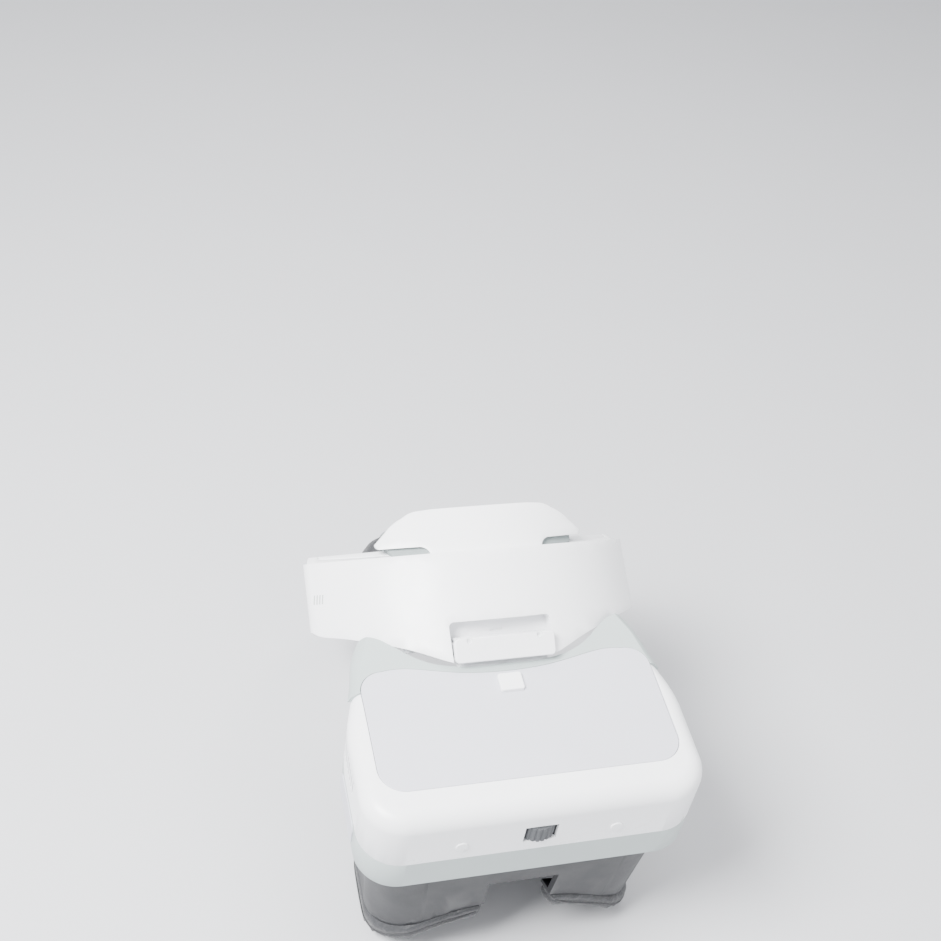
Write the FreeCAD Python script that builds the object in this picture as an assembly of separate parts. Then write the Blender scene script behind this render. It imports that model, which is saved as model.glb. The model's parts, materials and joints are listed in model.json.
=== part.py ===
"""Head-worn video goggles: a curved headband with a battery, and a headset that tilts on it.

Frames, in millimetres:
- band frame: X to the wearer's left, Y towards the back of the head, Z up, origin on the tilt axis;
- headset frame: the same axes with the headset hanging straight down, before it is tilted;
- part frame: the object standing on its face pad and on the rear of the ring, origin at the
  middle of the bottom of its bounding box.
"""
import FreeCAD, Part
import math
import os

V = FreeCAD.Vector
AXIS_X = V(1, 0, 0)
AXIS_Y = V(0, 1, 0)
AXIS_Z = V(0, 0, 1)

# Pose of the two halves
HEADSET_TILT = 40.8        # headset tilted up from straight down, degrees
STANDING_TILT = 43.9       # ring sloping down to the rear as it stands, degrees

# Headband
BAND_HALF = 103.0          # half the width of the ring
BAND_RADIUS = 119.0        # forehead curve of the band's face, in plan
BAND_CORNER = 15.0         # rounding where the face turns into the sides
ARM_HALF = 91.0            # half the width over the side arms
ARM_EASE = 30.0            # length over which the sides draw in to the arms
BAND_FACE_Y = 3.0          # face of the band at its middle, at the height of LEAN_Z
BAND_LEAN = 0.277          # mm back for each mm up
LEAN_Z = 54.0              # height at which the plan curves are drawn
BAND_TOP = 55.5
TRIM_TOP = 59.5            # rear edge of the sloping top
TRIM_SLOPE = 3.4           # mm back for each mm up
BAND_BACK = 148.0          # rear ends of the side arms
BAND_DEPTH = 24.0          # thickness of the battery part of the band
INNER_BACK = 118.0         # rear end of the inner wall, short of where the strap bends
ARM_THICK = 8.5
WALL = 2.4
SOCKET = (-72.0, 29.0)     # charging socket in the underside
BUTTON = (-52.0, 14.0)     # battery button in the underside

# Tilt hinge
RECESS_HALF = 30.6
RECESS_TOP = 14.7
PLATE_HALF = 29.9
PLATE_TOP = 5.3
PLATE_BOTTOM = -8.7
PLATE_FRONT = -13.5
PIN_R = 2.0
RUN_FIT = 0.05             # radial clearance of a turning or sliding fit

# Crest above the band
CREST_LEAN = 0.5
CREST_THICK = 3.0
CREST_TOP = 82.0
NECK_HALF = 34.0
WING_TIP = 64.0
WING_UNDER = 60.0

# Rear cradle
STRAP_R = 86.8             # centre line of the strap where it goes around the head
STRAP_THICK = 2.8
STRAP_LOW = 30.0
STRAP_HIGH = 48.0
STRAP_START = 84.0
ARC_Y = 144.0              # centre of the strap's half circle
KNOB_R = 19.0
KNOB_Z = 35.0

# Headset
HEAD_HALF = 97.5
HEAD_BOTTOM = -112.0
HEAD_CORNER = 24.0
PANEL_HALF = 86.0
PANEL_BOTTOM = -90.7
PANEL_FRONT = 1.3
PANEL_THICK = 2.3
PANEL_SEAM = 0.45          # gap all round the panel
BEZEL_FRONT = 1.0
BEZEL_BACK = 40.0
BODY_BACK = 62.0
BODY_TOP = -13.0
LIP_BACK = 9.0
CONE_TIP = 54.3            # cone about the tilt axis that the band's underside sweeps
CONE_SLOPE = 0.83
CONE_REACH = 26.0
CAVITY_FRONT = 9.0
MASK_R = 110.0             # curve of the face opening, in plan
MASK_MIDDLE = 104.0        # rear edge of the mask frame at its middle
PAD_DEPTH = 14.0
EYE_HALF = 32.0            # half the distance between the eyes
EYE_Z = -58.0
LENS_R = 21.0
RAIL_R = 1.5
IPD_Z = -102.0             # axis of the lens-spacing wheel
IPD_PINION = 4.5


# ---- small builders -------------------------------------------------------------------------

def block(x0, x1, y0, y1, z0, z1):
    """Box between two corners."""
    return Part.makeBox(x1 - x0, y1 - y0, z1 - z0, V(x0, y0, z0))


def rod(start, axis, radius, length):
    """Cylinder from a start point along an axis."""
    return Part.makeCylinder(radius, length, V(*start), axis)


def tube(start, axis, outer, inner, length):
    """Ring-shaped cylinder."""
    return rod(start, axis, outer, length).cut(rod(start, axis, inner, length))


def mirrored(shape):
    """Copy on the other side of the middle plane."""
    return shape.mirror(V(0, 0, 0), AXIS_X)


def both(shape):
    """The shape and its mirror image."""
    return shape.fuse(mirrored(shape))


def cut_all(shape, tools):
    """The shape less each of the tools."""
    for tool in tools:
        shape = shape.cut(tool)
    return shape


def softened(shape, radius, chosen):
    """Fillet the edges that a test chooses."""
    edges = [edge for edge in shape.Edges if chosen(edge)]
    return shape.makeFillet(radius, edges)


def along(edge, axis):
    """Whether an edge is a straight line along an axis."""
    if not isinstance(edge.Curve, Part.Line):
        return False
    return abs(edge.tangentAt(edge.FirstParameter).dot(axis)) > 0.999


def at_level(edge, axis, level):
    """Whether a whole edge lies at one place along an axis."""
    low = edge.BoundBox
    ends = {0: (low.XMin, low.XMax), 1: (low.YMin, low.YMax), 2: (low.ZMin, low.ZMax)}[axis]
    return abs(ends[0] - level) < 0.02 and abs(ends[1] - level) < 0.02


def arc(first, middle, last):
    """Circular arc edge through three points."""
    return Part.Arc(first, middle, last).toShape()


def line(first, last):
    """Straight edge."""
    return Part.makeLine(first, last)


def curve(points):
    """Smooth edge through points."""
    spline = Part.BSplineCurve()
    spline.interpolate(points)
    return spline.toShape()


def face_of(edges):
    """Flat face inside a closed chain of edges."""
    return Part.Face(Part.Wire(Part.__sortEdges__(edges)))


def rounded_rect(x0, x1, z0, z1, radius, y):
    """Rounded rectangle in a plane across Y."""
    k = radius * (1 - math.sqrt(0.5))
    edges = [
        line(V(x0 + radius, y, z0), V(x1 - radius, y, z0)),
        arc(V(x1 - radius, y, z0), V(x1 - k, y, z0 + k), V(x1, y, z0 + radius)),
        line(V(x1, y, z0 + radius), V(x1, y, z1 - radius)),
        arc(V(x1, y, z1 - radius), V(x1 - k, y, z1 - k), V(x1 - radius, y, z1)),
        line(V(x1 - radius, y, z1), V(x0 + radius, y, z1)),
        arc(V(x0 + radius, y, z1), V(x0 + k, y, z1 - k), V(x0, y, z1 - radius)),
        line(V(x0, y, z1 - radius), V(x0, y, z0 + radius)),
        arc(V(x0, y, z0 + radius), V(x0 + k, y, z0 + k), V(x0 + radius, y, z0)),
    ]
    return face_of(edges)


def slab(x0, x1, z0, z1, radius, y0, y1):
    """Rounded rectangle with a thickness along Y."""
    return rounded_rect(x0, x1, z0, z1, radius, y0).extrude(V(0, y1 - y0, 0))


# ---- headband -------------------------------------------------------------------------------

def drawn_in(half, arm, start, end):
    """Two equal arcs that lead from the side of the band in to the arm."""
    step = half - arm
    radius = (end - start) ** 2 / (4 * step) + step / 4
    angle = math.asin((end - start) / 2 / radius) / 2
    shift = radius * (1 - math.cos(angle))
    rise = radius * math.sin(angle)
    middle = V((half + arm) / 2, (start + end) / 2, 0)
    return [arc(V(half, start, 0), V(half - shift, start + rise, 0), middle),
            arc(middle, V(arm + shift, end - rise, 0), V(arm, end, 0))]


def plan_solid(inset, y_back, z0, z1, lean=BAND_LEAN, depth=0.0):
    """Everything inside the ring's plan curve, leaning back as it rises.

    inset moves the sides and face inwards; depth moves the face alone further back.
    """
    radius = BAND_RADIUS - inset - depth
    arm = ARM_HALF - inset
    half = min(BAND_HALF - inset, radius - 0.5) if depth == 0 else min(arm, radius - 0.5)
    corner = max(BAND_CORNER - inset, 4.0)
    y_face = BAND_FACE_Y + inset + depth
    turn = math.asin((half - corner) / (radius - corner))
    cx = half - corner
    centre_y = y_face + radius
    cy = centre_y - (radius - corner) * math.cos(turn)
    tx = radius * math.sin(turn)
    ty = centre_y - radius * math.cos(turn)
    mid = (turn + math.pi / 2) / 2
    mx = cx + corner * math.sin(mid)
    my = cy - corner * math.cos(mid)
    side = [arc(V(tx, ty, 0), V(mx, my, 0), V(half, cy, 0))]
    if depth == 0:
        side += drawn_in(half, arm, cy, cy + ARM_EASE)
        side.append(line(V(arm, cy + ARM_EASE, 0), V(arm, y_back, 0)))
    else:
        side.append(line(V(half, cy, 0), V(half, y_back, 0)))
    end = side[-1].valueAt(side[-1].LastParameter)
    edges = [arc(V(-tx, ty, 0), V(0, y_face, 0), V(tx, ty, 0)), line(end, V(-end.x, y_back, 0))]
    edges += side + [edge.mirror(V(0, 0, 0), AXIS_X) for edge in side]
    solid = face_of(edges).extrude(V(0, lean * (z1 - z0), z1 - z0))
    solid.translate(V(0, lean * (z0 - LEAN_Z), z0))
    return solid


def band_outline(inset, top):
    """Front view of the band as a prism: a low middle and arms that rise to the ends."""
    low = [(102.0, 13.6), (99.0, 11.6), (94.0, 10.6), (87.0, 9.6), (77.0, 7.4), (60.0, 3.0),
           (47.0, -1.5), (38.0, -5.3), (30.0, -8.2), (17.0, -10.5)]
    right = [V(x, 0, z + inset) for x, z in low]
    left = [V(-p.x, 0, p.z) for p in reversed(right)]
    out = BAND_HALF + 2.0
    edges = [
        curve(right),
        line(right[-1], left[0]),
        curve(left),
        line(left[-1], V(-out, 0, 14.6 + inset)),
        line(V(-out, 0, 14.6 + inset), V(-out, 0, top)),
        line(V(-out, 0, top), V(out, 0, top)),
        line(V(out, 0, top), V(out, 0, 14.6 + inset)),
        line(V(out, 0, 14.6 + inset), right[0]),
    ]
    prism = face_of(edges).extrude(V(0, 260, 0))
    prism.translate(V(0, -60, 0))
    return prism


def arm_taper(inset):
    """Side view that the band fits in: full height in front, slimmer arms with round ends."""
    end = BAND_BACK - inset
    high = 50.5 - inset
    low = 27.5 + inset
    tip = 8.0
    k = tip * (1 - math.sqrt(0.5))
    edges = [
        line(V(0, -60, -40), V(0, 60, -40)),
        line(V(0, 60, -40), V(0, 78, 18.0 + inset)),
        line(V(0, 78, 18.0 + inset), V(0, 100, low)),
        line(V(0, 100, low), V(0, end - tip, low)),
        arc(V(0, end - tip, low), V(0, end - k, low + k), V(0, end, low + tip)),
        line(V(0, end, low + tip), V(0, end, high - tip)),
        arc(V(0, end, high - tip), V(0, end - k, high - k), V(0, end - tip, high)),
        line(V(0, end - tip, high), V(0, 100, BAND_TOP + 1)),
        line(V(0, 100, BAND_TOP + 1), V(0, 70, TRIM_TOP + 1)),
        line(V(0, 70, TRIM_TOP + 1), V(0, -60, TRIM_TOP + 1)),
        line(V(0, -60, TRIM_TOP + 1), V(0, -60, -40)),
    ]
    prism = face_of(edges).extrude(V(240, 0, 0))
    prism.translate(V(-120, 0, 0))
    return prism


def recess_tool(half, top, y_back):
    """Opening in the middle of the band's lower edge for the hinge plate."""
    return slab(-half, half, -40, top, 3.0, -40, y_back)


def face_y(x, z, radius=BAND_RADIUS, lean=BAND_LEAN):
    """Y of the band's face at a place in the front view."""
    return BAND_FACE_Y + radius - math.sqrt(radius * radius - x * x) + lean * (z - LEAN_Z)


def band_shell():
    """White outer skin of the ring: face, underside and outer walls of the side arms."""
    tall = (-20.0, BAND_TOP + 6)
    ring = plan_solid(0, BAND_BACK, *tall).cut(plan_solid(ARM_THICK, 260, *tall, depth=BAND_DEPTH - ARM_THICK))
    ring = ring.common(band_outline(0, BAND_TOP)).common(arm_taper(0))
    hollow = plan_solid(WALL, 260, *tall).common(band_outline(WALL, BAND_TOP + 9)).common(arm_taper(WALL))
    slot = plan_solid(WALL, 260, 20, 54).common(block(-120, 120, 70, 260, STRAP_LOW - 1, STRAP_HIGH + 1))
    ring = cut_all(ring, [hollow, slot, recess_tool(RECESS_HALF, RECESS_TOP, 40)])
    return ring


def band_inner_frame():
    """Inner wall of the ring, which closes the battery space and carries the pads."""
    tall = (-20.0, TRIM_TOP + 3)
    depth = BAND_DEPTH - ARM_THICK
    wall = plan_solid(ARM_THICK - 2.5, INNER_BACK, *tall, depth=depth)
    wall = wall.cut(plan_solid(ARM_THICK, 260, *tall, depth=depth))
    wall = wall.common(band_outline(WALL + 0.1, TRIM_TOP - 0.4)).common(arm_taper(WALL + 0.1))
    return cut_all(wall, [crest_core(), pad_screws()])


def band_top_trim():
    """Sloping top of the band between its outer and inner walls, with a groove along it."""
    strip = plan_solid(WALL + 0.1, 110, 53.0, TRIM_TOP, lean=TRIM_SLOPE).common(
        plan_solid(WALL + 0.1, 97, 53.0, TRIM_TOP))
    strip = strip.cut(plan_solid(ARM_THICK - 2.6, 260, 50.0, 62.0, depth=BAND_DEPTH - ARM_THICK))
    groove = plan_solid(9.0, 110, 54.0, 62.0).cut(plan_solid(9.9, 110, 54.0, 62.0))
    floor = plan_solid(WALL + 2.8, 110, 53.0, TRIM_TOP, lean=TRIM_SLOPE)
    strip = cut_all(strip.common(arm_taper(0.2)), [groove.cut(floor), crest_plate(), crest_core()])
    return strip


def crest_solid(front, back):
    """Curved, leaning plate between two depths behind the band's face."""
    outer = plan_solid(front, 120, 44, CREST_TOP + 4, lean=CREST_LEAN)
    inner = plan_solid(back, 140, 44, CREST_TOP + 4, lean=CREST_LEAN)
    return outer.cut(inner)


def crest_outline():
    """Front view of the crest: a neck, a wing on each side and cut-off upper corners."""
    right = [(NECK_HALF, 46.0), (NECK_HALF, WING_UNDER - 6), (NECK_HALF + 6, WING_UNDER),
             (WING_TIP - 3, WING_UNDER + 0.4), (WING_TIP, WING_UNDER + 3.4), (57.5, 70.0),
             (46.5, 78.2), (39.0, CREST_TOP - 0.6), (30.0, CREST_TOP)]
    p = [V(x, 0, z) for x, z in right]
    notch = V(NECK_HALF + 1.8, 0, WING_UNDER - 1.8)
    tip = V(WING_TIP - 0.4, 0, WING_UNDER + 1.4)
    half = [
        line(V(0, 0, 46.0), p[0]),
        line(p[0], p[1]),
        arc(p[1], notch, p[2]),
        line(p[2], p[3]),
        arc(p[3], tip, p[4]),
        line(p[4], p[5]),
        arc(p[5], V(53.0, 0, 74.4), p[6]),
        arc(p[6], V(43.2, 0, 80.2), p[7]),
        line(p[7], p[8]),
        line(p[8], V(0, 0, CREST_TOP)),
        line(V(0, 0, CREST_TOP), V(0, 0, 46.0)),
    ]
    prism = face_of(half).extrude(V(0, 160, 0))
    prism.translate(V(0, -30, 0))
    return both(prism).removeSplitter()


def crest_plate():
    """White T-shaped plate that rises from the band over the forehead."""
    plate = crest_solid(WALL + 0.1, WALL + 0.1 + CREST_THICK).common(crest_outline())
    return plate.common(plan_solid(WALL + 0.1, 120, 44, CREST_TOP + 4))


def crest_core():
    """Grey carrier behind the crest, seen under its wings."""
    core = crest_solid(WALL + 0.2 + CREST_THICK, 26.0)
    return core.common(slab(-57, 57, 53.6, 72, 6.0, -30, 120))


def forehead_pad():
    """Soft pad on the inside of the band, over the forehead."""
    outer = plan_solid(ARM_THICK + 0.2, 120, 6, 72, lean=BAND_LEAN, depth=BAND_DEPTH - ARM_THICK)
    inner = plan_solid(ARM_THICK + 0.2, 200, 4, 76, lean=BAND_LEAN, depth=BAND_DEPTH - ARM_THICK + 13)
    pad = outer.cut(inner).common(slab(-66, 66, 8, 70, 14.0, -30, 120))
    return pad.cut(crest_core())


def battery_cells():
    """One flat cell pack on each side of the middle, inside the band."""
    cell = block(-22, 22, -6.0, 6.0, -13.5, 13.5)
    cell = softened(cell, 3.0, lambda e: along(e, AXIS_Z))
    cell.rotate(V(0, 0, 0), AXIS_X, -math.degrees(math.atan(BAND_LEAN)))
    cell.rotate(V(0, 0, 0), AXIS_Z, 29.0)
    cell.translate(V(57, 26.0, 33.4))
    return both(cell)


def battery_board():
    """Charging board in the middle of the band."""
    board = block(-26, 26, -0.8, 0.8, -13, 13)
    parts = [block(-18, -6, -3.4, -0.8, -6, 6), block(4, 10, -2.6, -0.8, -8, -2),
             block(14, 22, -4.0, -0.8, 0, 8)]
    for chip in parts:
        board = board.fuse(chip)
    board.rotate(V(0, 0, 0), AXIS_X, -math.degrees(math.atan(BAND_LEAN)))
    board.translate(V(0, 12.5, 36))
    return board


def face_place(x, z, depth=0.0):
    """Placement on the band's face: local Z points out of the face."""
    slope = x / math.sqrt(BAND_RADIUS ** 2 - x ** 2)
    outward = V(slope, -1.0, BAND_LEAN).normalize()
    spot = V(x, face_y(x, z), z) - outward * depth
    sideways = AXIS_Z.cross(outward)
    return FreeCAD.Placement(spot, FreeCAD.Rotation(sideways, AXIS_Z, outward, "ZYX"))


def level_window():
    """Four small battery-level lights set into the end of the band."""
    bars = []
    for index in range(4):
        bar = block(-0.5, 0.5, -2.8, 2.8, -0.8, 0.12)
        bar.Placement = face_place(-95.6 - 1.4 * index, 33.5)
        bars.append(bar)
    return Part.makeCompound(bars)


def power_socket():
    """Charging socket in the underside of the band."""
    body = tube((*SOCKET, 6.0), AXIS_Z, 4.2, 2.75, 12).fuse(rod((*SOCKET, 17.5), AXIS_Z, 4.2, 1.5))
    pin = rod((*SOCKET, 9.0), AXIS_Z, 0.65, 9)
    return body.fuse(pin)


def battery_button():
    """Round button in the underside of the band."""
    cap = rod((*BUTTON, -1.4), AXIS_Z, 3.9, 7.0)
    cap = softened(cap, 0.5, lambda e: at_level(e, 2, -1.4))
    return cap.fuse(rod((*BUTTON, 5.6), AXIS_Z, 1.4, 3.0))


def underside_holes():
    """Openings for the socket and the button."""
    return [rod((*SOCKET, -20), AXIS_Z, 4.2, 40), rod((*BUTTON, -20), AXIS_Z, 3.9 + RUN_FIT, 26.5)]


def button_guide():
    """Seat over the battery button, with room for its travel."""
    seat = tube((*BUTTON, 6.9), AXIS_Z, 5.0, 1.4 + RUN_FIT, 3.0)
    return seat.fuse(rod((*BUTTON, 9.9), AXIS_Z, 5.0, 1.2))


# ---- tilt hinge -----------------------------------------------------------------------------

def hinge_block():
    """Tub behind the recess whose side walls hold the hinge pin."""
    tub = slab(-34.2, 34.2, -9.4, 17.6, 3.0, -20, 10)
    tub = tub.common(plan_solid(WALL + 0.1, 110, -20, 30)).common(band_outline(WALL + 0.1, 60))
    tub = tub.cut(plan_solid(ARM_THICK - 2.6, 110, -20, 30, depth=BAND_DEPTH - ARM_THICK))
    tub = tub.cut(recess_tool(RECESS_HALF, RECESS_TOP, 6.2))
    tub = tub.cut(block(-3.6, 3.6, 5, 7.6, 7.3, 8.6))
    return tub.cut(rod((-36, 0, 0), AXIS_X, PIN_R, 72))


def hinge_pin():
    """Steel pin that the headset tilts on."""
    return rod((-34.0, 0, 0), AXIS_X, PIN_R, 68)


def hinge_washers():
    """Friction washers at the ends of the knuckle."""
    washers = []
    for start in (-RECESS_HALF + 0.02, 28.32):
        washers.append(tube((start, 0, 0), AXIS_X, 4.6, PIN_R, 2.26))
    return Part.makeCompound(washers)


def mount_plate():
    """White plate in the recess with its knuckle and the neck down to the headset."""
    plate = slab(-PLATE_HALF, PLATE_HALF, PLATE_BOTTOM, PLATE_TOP, 2.5, PLATE_FRONT, PLATE_FRONT + 4.2)
    plate = softened(plate, 0.8, lambda e: at_level(e, 1, PLATE_FRONT))
    knuckle = rod((-28.2, 0, 0), AXIS_X, 5.6, 56.4)
    web = block(-28.2, 28.2, PLATE_FRONT + 4, 0, -5.2, 3.2)
    neck = headset_turned(block(-27, 27, 3.0, 6.0, -16.8, -3.0), -1)
    mount = plate.fuse([knuckle, web, neck])
    for side in (-1, 1):
        mount = mount.cut(rod((side * 21, PLATE_FRONT - 1, 3.6), AXIS_Y, 1.9, 2.6))
    mount = mount.cut(block(-3.5, 3.5, PLATE_FRONT + 2.2, PLATE_FRONT + 6, 2.4, 6))
    return mount.cut(rod((-40, 0, 0), AXIS_X, PIN_R + RUN_FIT, 80)).removeSplitter()


# ---- rear cradle ----------------------------------------------------------------------------

def strap_band(radius_out, radius_in, low, high, start):
    """U around the back of the head between two radii."""
    outer = rod((0, ARC_Y, low), AXIS_Z, radius_out, high - low)
    outer = outer.fuse(block(-radius_out, radius_out, start, ARC_Y, low, high))
    inner = rod((0, ARC_Y, low - 1), AXIS_Z, radius_in, high - low + 2)
    inner = inner.fuse(block(-radius_in, radius_in, start - 1, ARC_Y, low - 1, high + 1))
    outer = outer.cut(block(-200, 200, ARC_Y - 200, start, low - 1, high + 1))
    return outer.cut(inner)


def rear_strap():
    """Flexible strap from arm to arm around the back of the head."""
    half = STRAP_THICK / 2
    strap = strap_band(STRAP_R + half, STRAP_R - half, STRAP_LOW, STRAP_HIGH, STRAP_START)
    for side in (-1, 1):
        for index in range(3):
            slot = slab(92 + 16 * index, 102 + 16 * index, 36.5, 41.5, 2.4, -2, 2)
            slot.rotate(V(0, 0, 0), AXIS_Z, 90)
            slot.translate(V(side * STRAP_R, 0, 0))
            strap = strap.cut(slot)
    return strap


def cradle_window(half, low, high, radius):
    """Rounded front view of a cradle part as a prism towards the back."""
    return slab(-half, half, low, high, radius, ARC_Y, ARC_Y + 160)


def rear_housing():
    """Rounded housing at the back of the head, around the strap."""
    shell = strap_band(STRAP_R + 6.5, STRAP_R - 6.5, -12, 70, ARC_Y - 1)
    shell = shell.common(cradle_window(56, 0, 62, 20))
    shell = softened(shell, 1.6, lambda e: e.Length > 20 and e.BoundBox.YMin > ARC_Y + 60)
    slot = strap_band(STRAP_R + STRAP_THICK / 2, STRAP_R - STRAP_THICK / 2, STRAP_LOW, STRAP_HIGH, ARC_Y - 1)
    well = rod((0, ARC_Y + STRAP_R + 1.4, KNOB_Z), AXIS_Y, 9.0, 9)
    return cut_all(shell, [slot, well])


def rear_pad():
    """Soft pad against the back of the head."""
    pad = strap_band(STRAP_R - 6.8, STRAP_R - 19, -12, 70, ARC_Y - 1)
    return pad.common(cradle_window(50, 4, 58, 17))


def tighten_knob():
    """Ribbed knob at the back that draws the strap in."""
    base = ARC_Y + STRAP_R + 6.9
    knob = rod((0, base, KNOB_Z), AXIS_Y, KNOB_R, 13)
    knob = softened(knob, 2.0, lambda e: at_level(e, 1, base + 13))
    for index in range(30):
        groove = rod((KNOB_R + 0.5, base - 1, 0), AXIS_Y, 1.2, 10)
        groove.rotate(V(0, 0, 0), AXIS_Y, 12 * index)
        groove.translate(V(0, 0, KNOB_Z))
        knob = knob.cut(groove)
    dish = Part.makeSphere(60, V(0, base + 13 + 58.2, KNOB_Z))
    stem = rod((0, base - 5.0, KNOB_Z), AXIS_Y, 4.0, 5.5)
    return knob.cut(dish).fuse(stem)


def strap_pinion():
    """Toothed wheel on the knob's stem."""
    start = ARC_Y + STRAP_R + 2.4
    pinion = rod((0, start, KNOB_Z), AXIS_Y, 6.4, 3.6)
    for index in range(12):
        gap = rod((6.9, start - 1, 0), AXIS_Y, 0.95, 6)
        gap.rotate(V(0, 0, 0), AXIS_Y, 30 * index)
        gap.translate(V(0, 0, KNOB_Z))
        pinion = pinion.cut(gap)
    return pinion.cut(rod((0, start - 1, KNOB_Z), AXIS_Y, 4.0, 6))


# ---- headset --------------------------------------------------------------------------------

def panel_top(y, rise=0.0):
    """Top edge of the front panel: level shoulders and a long shallow dip in the middle."""
    points = [(-72, -11.0), (-58, -10.7), (-44, -13.6), (-24, -17.6), (0, -19.1),
              (24, -17.6), (44, -13.6), (58, -10.7), (72, -11.0)]
    return curve([V(x, y, z + rise) for x, z in points])


def panel_face(grow, y):
    """Outline of the front panel, grown by an amount."""
    half = PANEL_HALF + grow
    low = PANEL_BOTTOM - grow
    top = -11.0 + grow
    small = 13.0 + grow
    large = 15.0 + grow
    ks = small * (1 - math.sqrt(0.5))
    kl = large * (1 - math.sqrt(0.5))
    edges = [
        panel_top(y, grow),
        line(V(72, y, top), V(half - small, y, top)),
        arc(V(half - small, y, top), V(half - ks, y, top - ks), V(half, y, top - small)),
        line(V(half, y, top - small), V(half, y, low + large)),
        arc(V(half, y, low + large), V(half - kl, y, low + kl), V(half - large, y, low)),
        line(V(half - large, y, low), V(large - half, y, low)),
        arc(V(large - half, y, low), V(kl - half, y, low + kl), V(-half, y, low + large)),
        line(V(-half, y, low + large), V(-half, y, top - small)),
        arc(V(-half, y, top - small), V(ks - half, y, top - ks), V(small - half, y, top)),
        line(V(small - half, y, top), V(-72, y, top)),
    ]
    return face_of(edges)


def release_hole(grow):
    """Place of the release button near the top of the panel."""
    return slab(-7.0 - grow, 7.0 + grow, -34.0 - grow, -22.0 + grow, 1.5, 0, PANEL_FRONT + 6)


def front_panel():
    """Flat light panel on the front of the headset."""
    panel = panel_face(0.0, PANEL_FRONT).extrude(V(0, PANEL_THICK, 0))
    panel = softened(panel, 0.35, lambda e: at_level(e, 1, PANEL_FRONT))
    return panel.cut(release_hole(RUN_FIT))


def body_outline(inset, y, lip):
    """Outline of the headset seen from the front; with the lip it rises at the shoulders."""
    half = HEAD_HALF - inset
    low = HEAD_BOTTOM + inset
    corner = HEAD_CORNER - inset
    k = corner * (1 - math.sqrt(0.5))
    side = [line(V(half, y, -52), V(half, y, low + corner)),
            arc(V(half, y, low + corner), V(half - k, y, low + k), V(half - corner, y, low))]
    if lip:
        side.append(curve([V(84.6 - inset, y, 10.5 - inset), V(87.3 - inset, y, 3.5),
                           V(91.0 - inset, y, -14.0), V(95.4 - inset, y, -31.0), V(half, y, -52)]))
        side.append(arc(V(77.0, y, 15.4 - inset), V(82.4 - inset, y, 14.2 - inset),
                        V(84.6 - inset, y, 10.5 - inset)))
        side.append(curve([V(0, y, BODY_TOP - inset), V(28.0, y, -12.4 - inset), V(46.0, y, -6.6 - inset),
                           V(58.0, y, 2.4 - inset), V(68.0, y, 11.4 - inset), V(77.0, y, 15.4 - inset)]))
    else:
        top = BODY_TOP - inset
        side.append(line(V(0, y, top), V(76.0 - inset, y, top)))
        side.append(arc(V(76.0 - inset, y, top), V(87.6 - inset, y, top - 5.6), V(93.0 - inset, y, top - 16)))
        side.append(curve([V(93.0 - inset, y, top - 16), V(95.6 - inset, y, -38.0), V(half, y, -52)]))
    floor = line(V(half - corner, y, low), V(0, y, low))
    left = [edge.mirror(V(0, 0, 0), AXIS_X) for edge in side + [floor]]
    return face_of(side + [floor] + left)


def shoulder_prism():
    """Sides of the headset carried up past the shoulders, with the bezel's rounded front edge."""
    side = curve([V(HEAD_HALF, 0, -52), V(95.4, 0, -31.0), V(91.0, 0, -14.0), V(87.3, 0, 3.5),
                  V(84.6, 0, 10.5), V(78.0, 0, 30)])
    edges = [line(V(0, 0, -52), V(HEAD_HALF, 0, -52)), side, line(V(78, 0, 30), V(0, 0, 30))]
    edges += [edge.mirror(V(0, 0, 0), AXIS_X) for edge in edges]
    prism = face_of(edges).extrude(V(0, BODY_BACK + 1 - BEZEL_FRONT, 0))
    prism.translate(V(0, BEZEL_FRONT, 0))
    prism = softened(prism, 10.0, lambda e: at_level(e, 1, BEZEL_FRONT) and e.BoundBox.ZLength > 20)
    return prism.fuse(block(-120, 120, 0, BODY_BACK + 1, -130, -52))


def bezel_prism():
    """Front half of the headset body with its large rounded front edge."""
    face = body_outline(0, BEZEL_FRONT, False)
    prism = face.extrude(V(0, BEZEL_BACK - BEZEL_FRONT, 0))
    prism = softened(prism, 10.0, lambda e: at_level(e, 1, BEZEL_FRONT))
    above_panel = face_of([
        panel_top(0),
        line(V(72, 0, -11.0), V(80, 0, -11.2)),
        line(V(80, 0, -11.2), V(120, 0, -24.0)),
        line(V(120, 0, -24.0), V(120, 0, 30)),
        line(V(120, 0, 30), V(-120, 0, 30)),
        line(V(-120, 0, 30), V(-120, 0, -24.0)),
        line(V(-120, 0, -24.0), V(-80, 0, -11.2)),
        line(V(-80, 0, -11.2), V(-72, 0, -11.0)),
    ]).extrude(V(0, 7.0, 0))
    behind_top = block(-120, 120, 7.0, 60, -24.0, 30)
    return cut_all(prism, [above_panel, behind_top])


def cavity():
    """Space inside the headset body."""
    face = body_outline(WALL, CAVITY_FRONT, False)
    return face.extrude(V(0, BODY_BACK + 1 - CAVITY_FRONT, 0))


def vent_slots():
    """Column of short slots in one side wall."""
    slots = []
    for index in range(9):
        z = -40.0 - 4.0 * index
        slots.append(block(-100, -92, 15, 27, z - 0.7, z + 0.7))
    return slots


def port_openings(grow):
    """Openings in the other side wall for the connectors."""
    return [block(90, 100, 20.0 - grow, 25.0 + grow, -52.0 - grow, -43.0 + grow),
            block(90, 100, 19.0 - grow, 26.0 + grow, -73.0 - grow, -58.0 + grow),
            rod((90, 22.5, -80.0), AXIS_X, 3.4 + grow, 12),
            rod((88, 22.5, -34.0), AXIS_X, 4.2 + grow, 12)]


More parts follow.
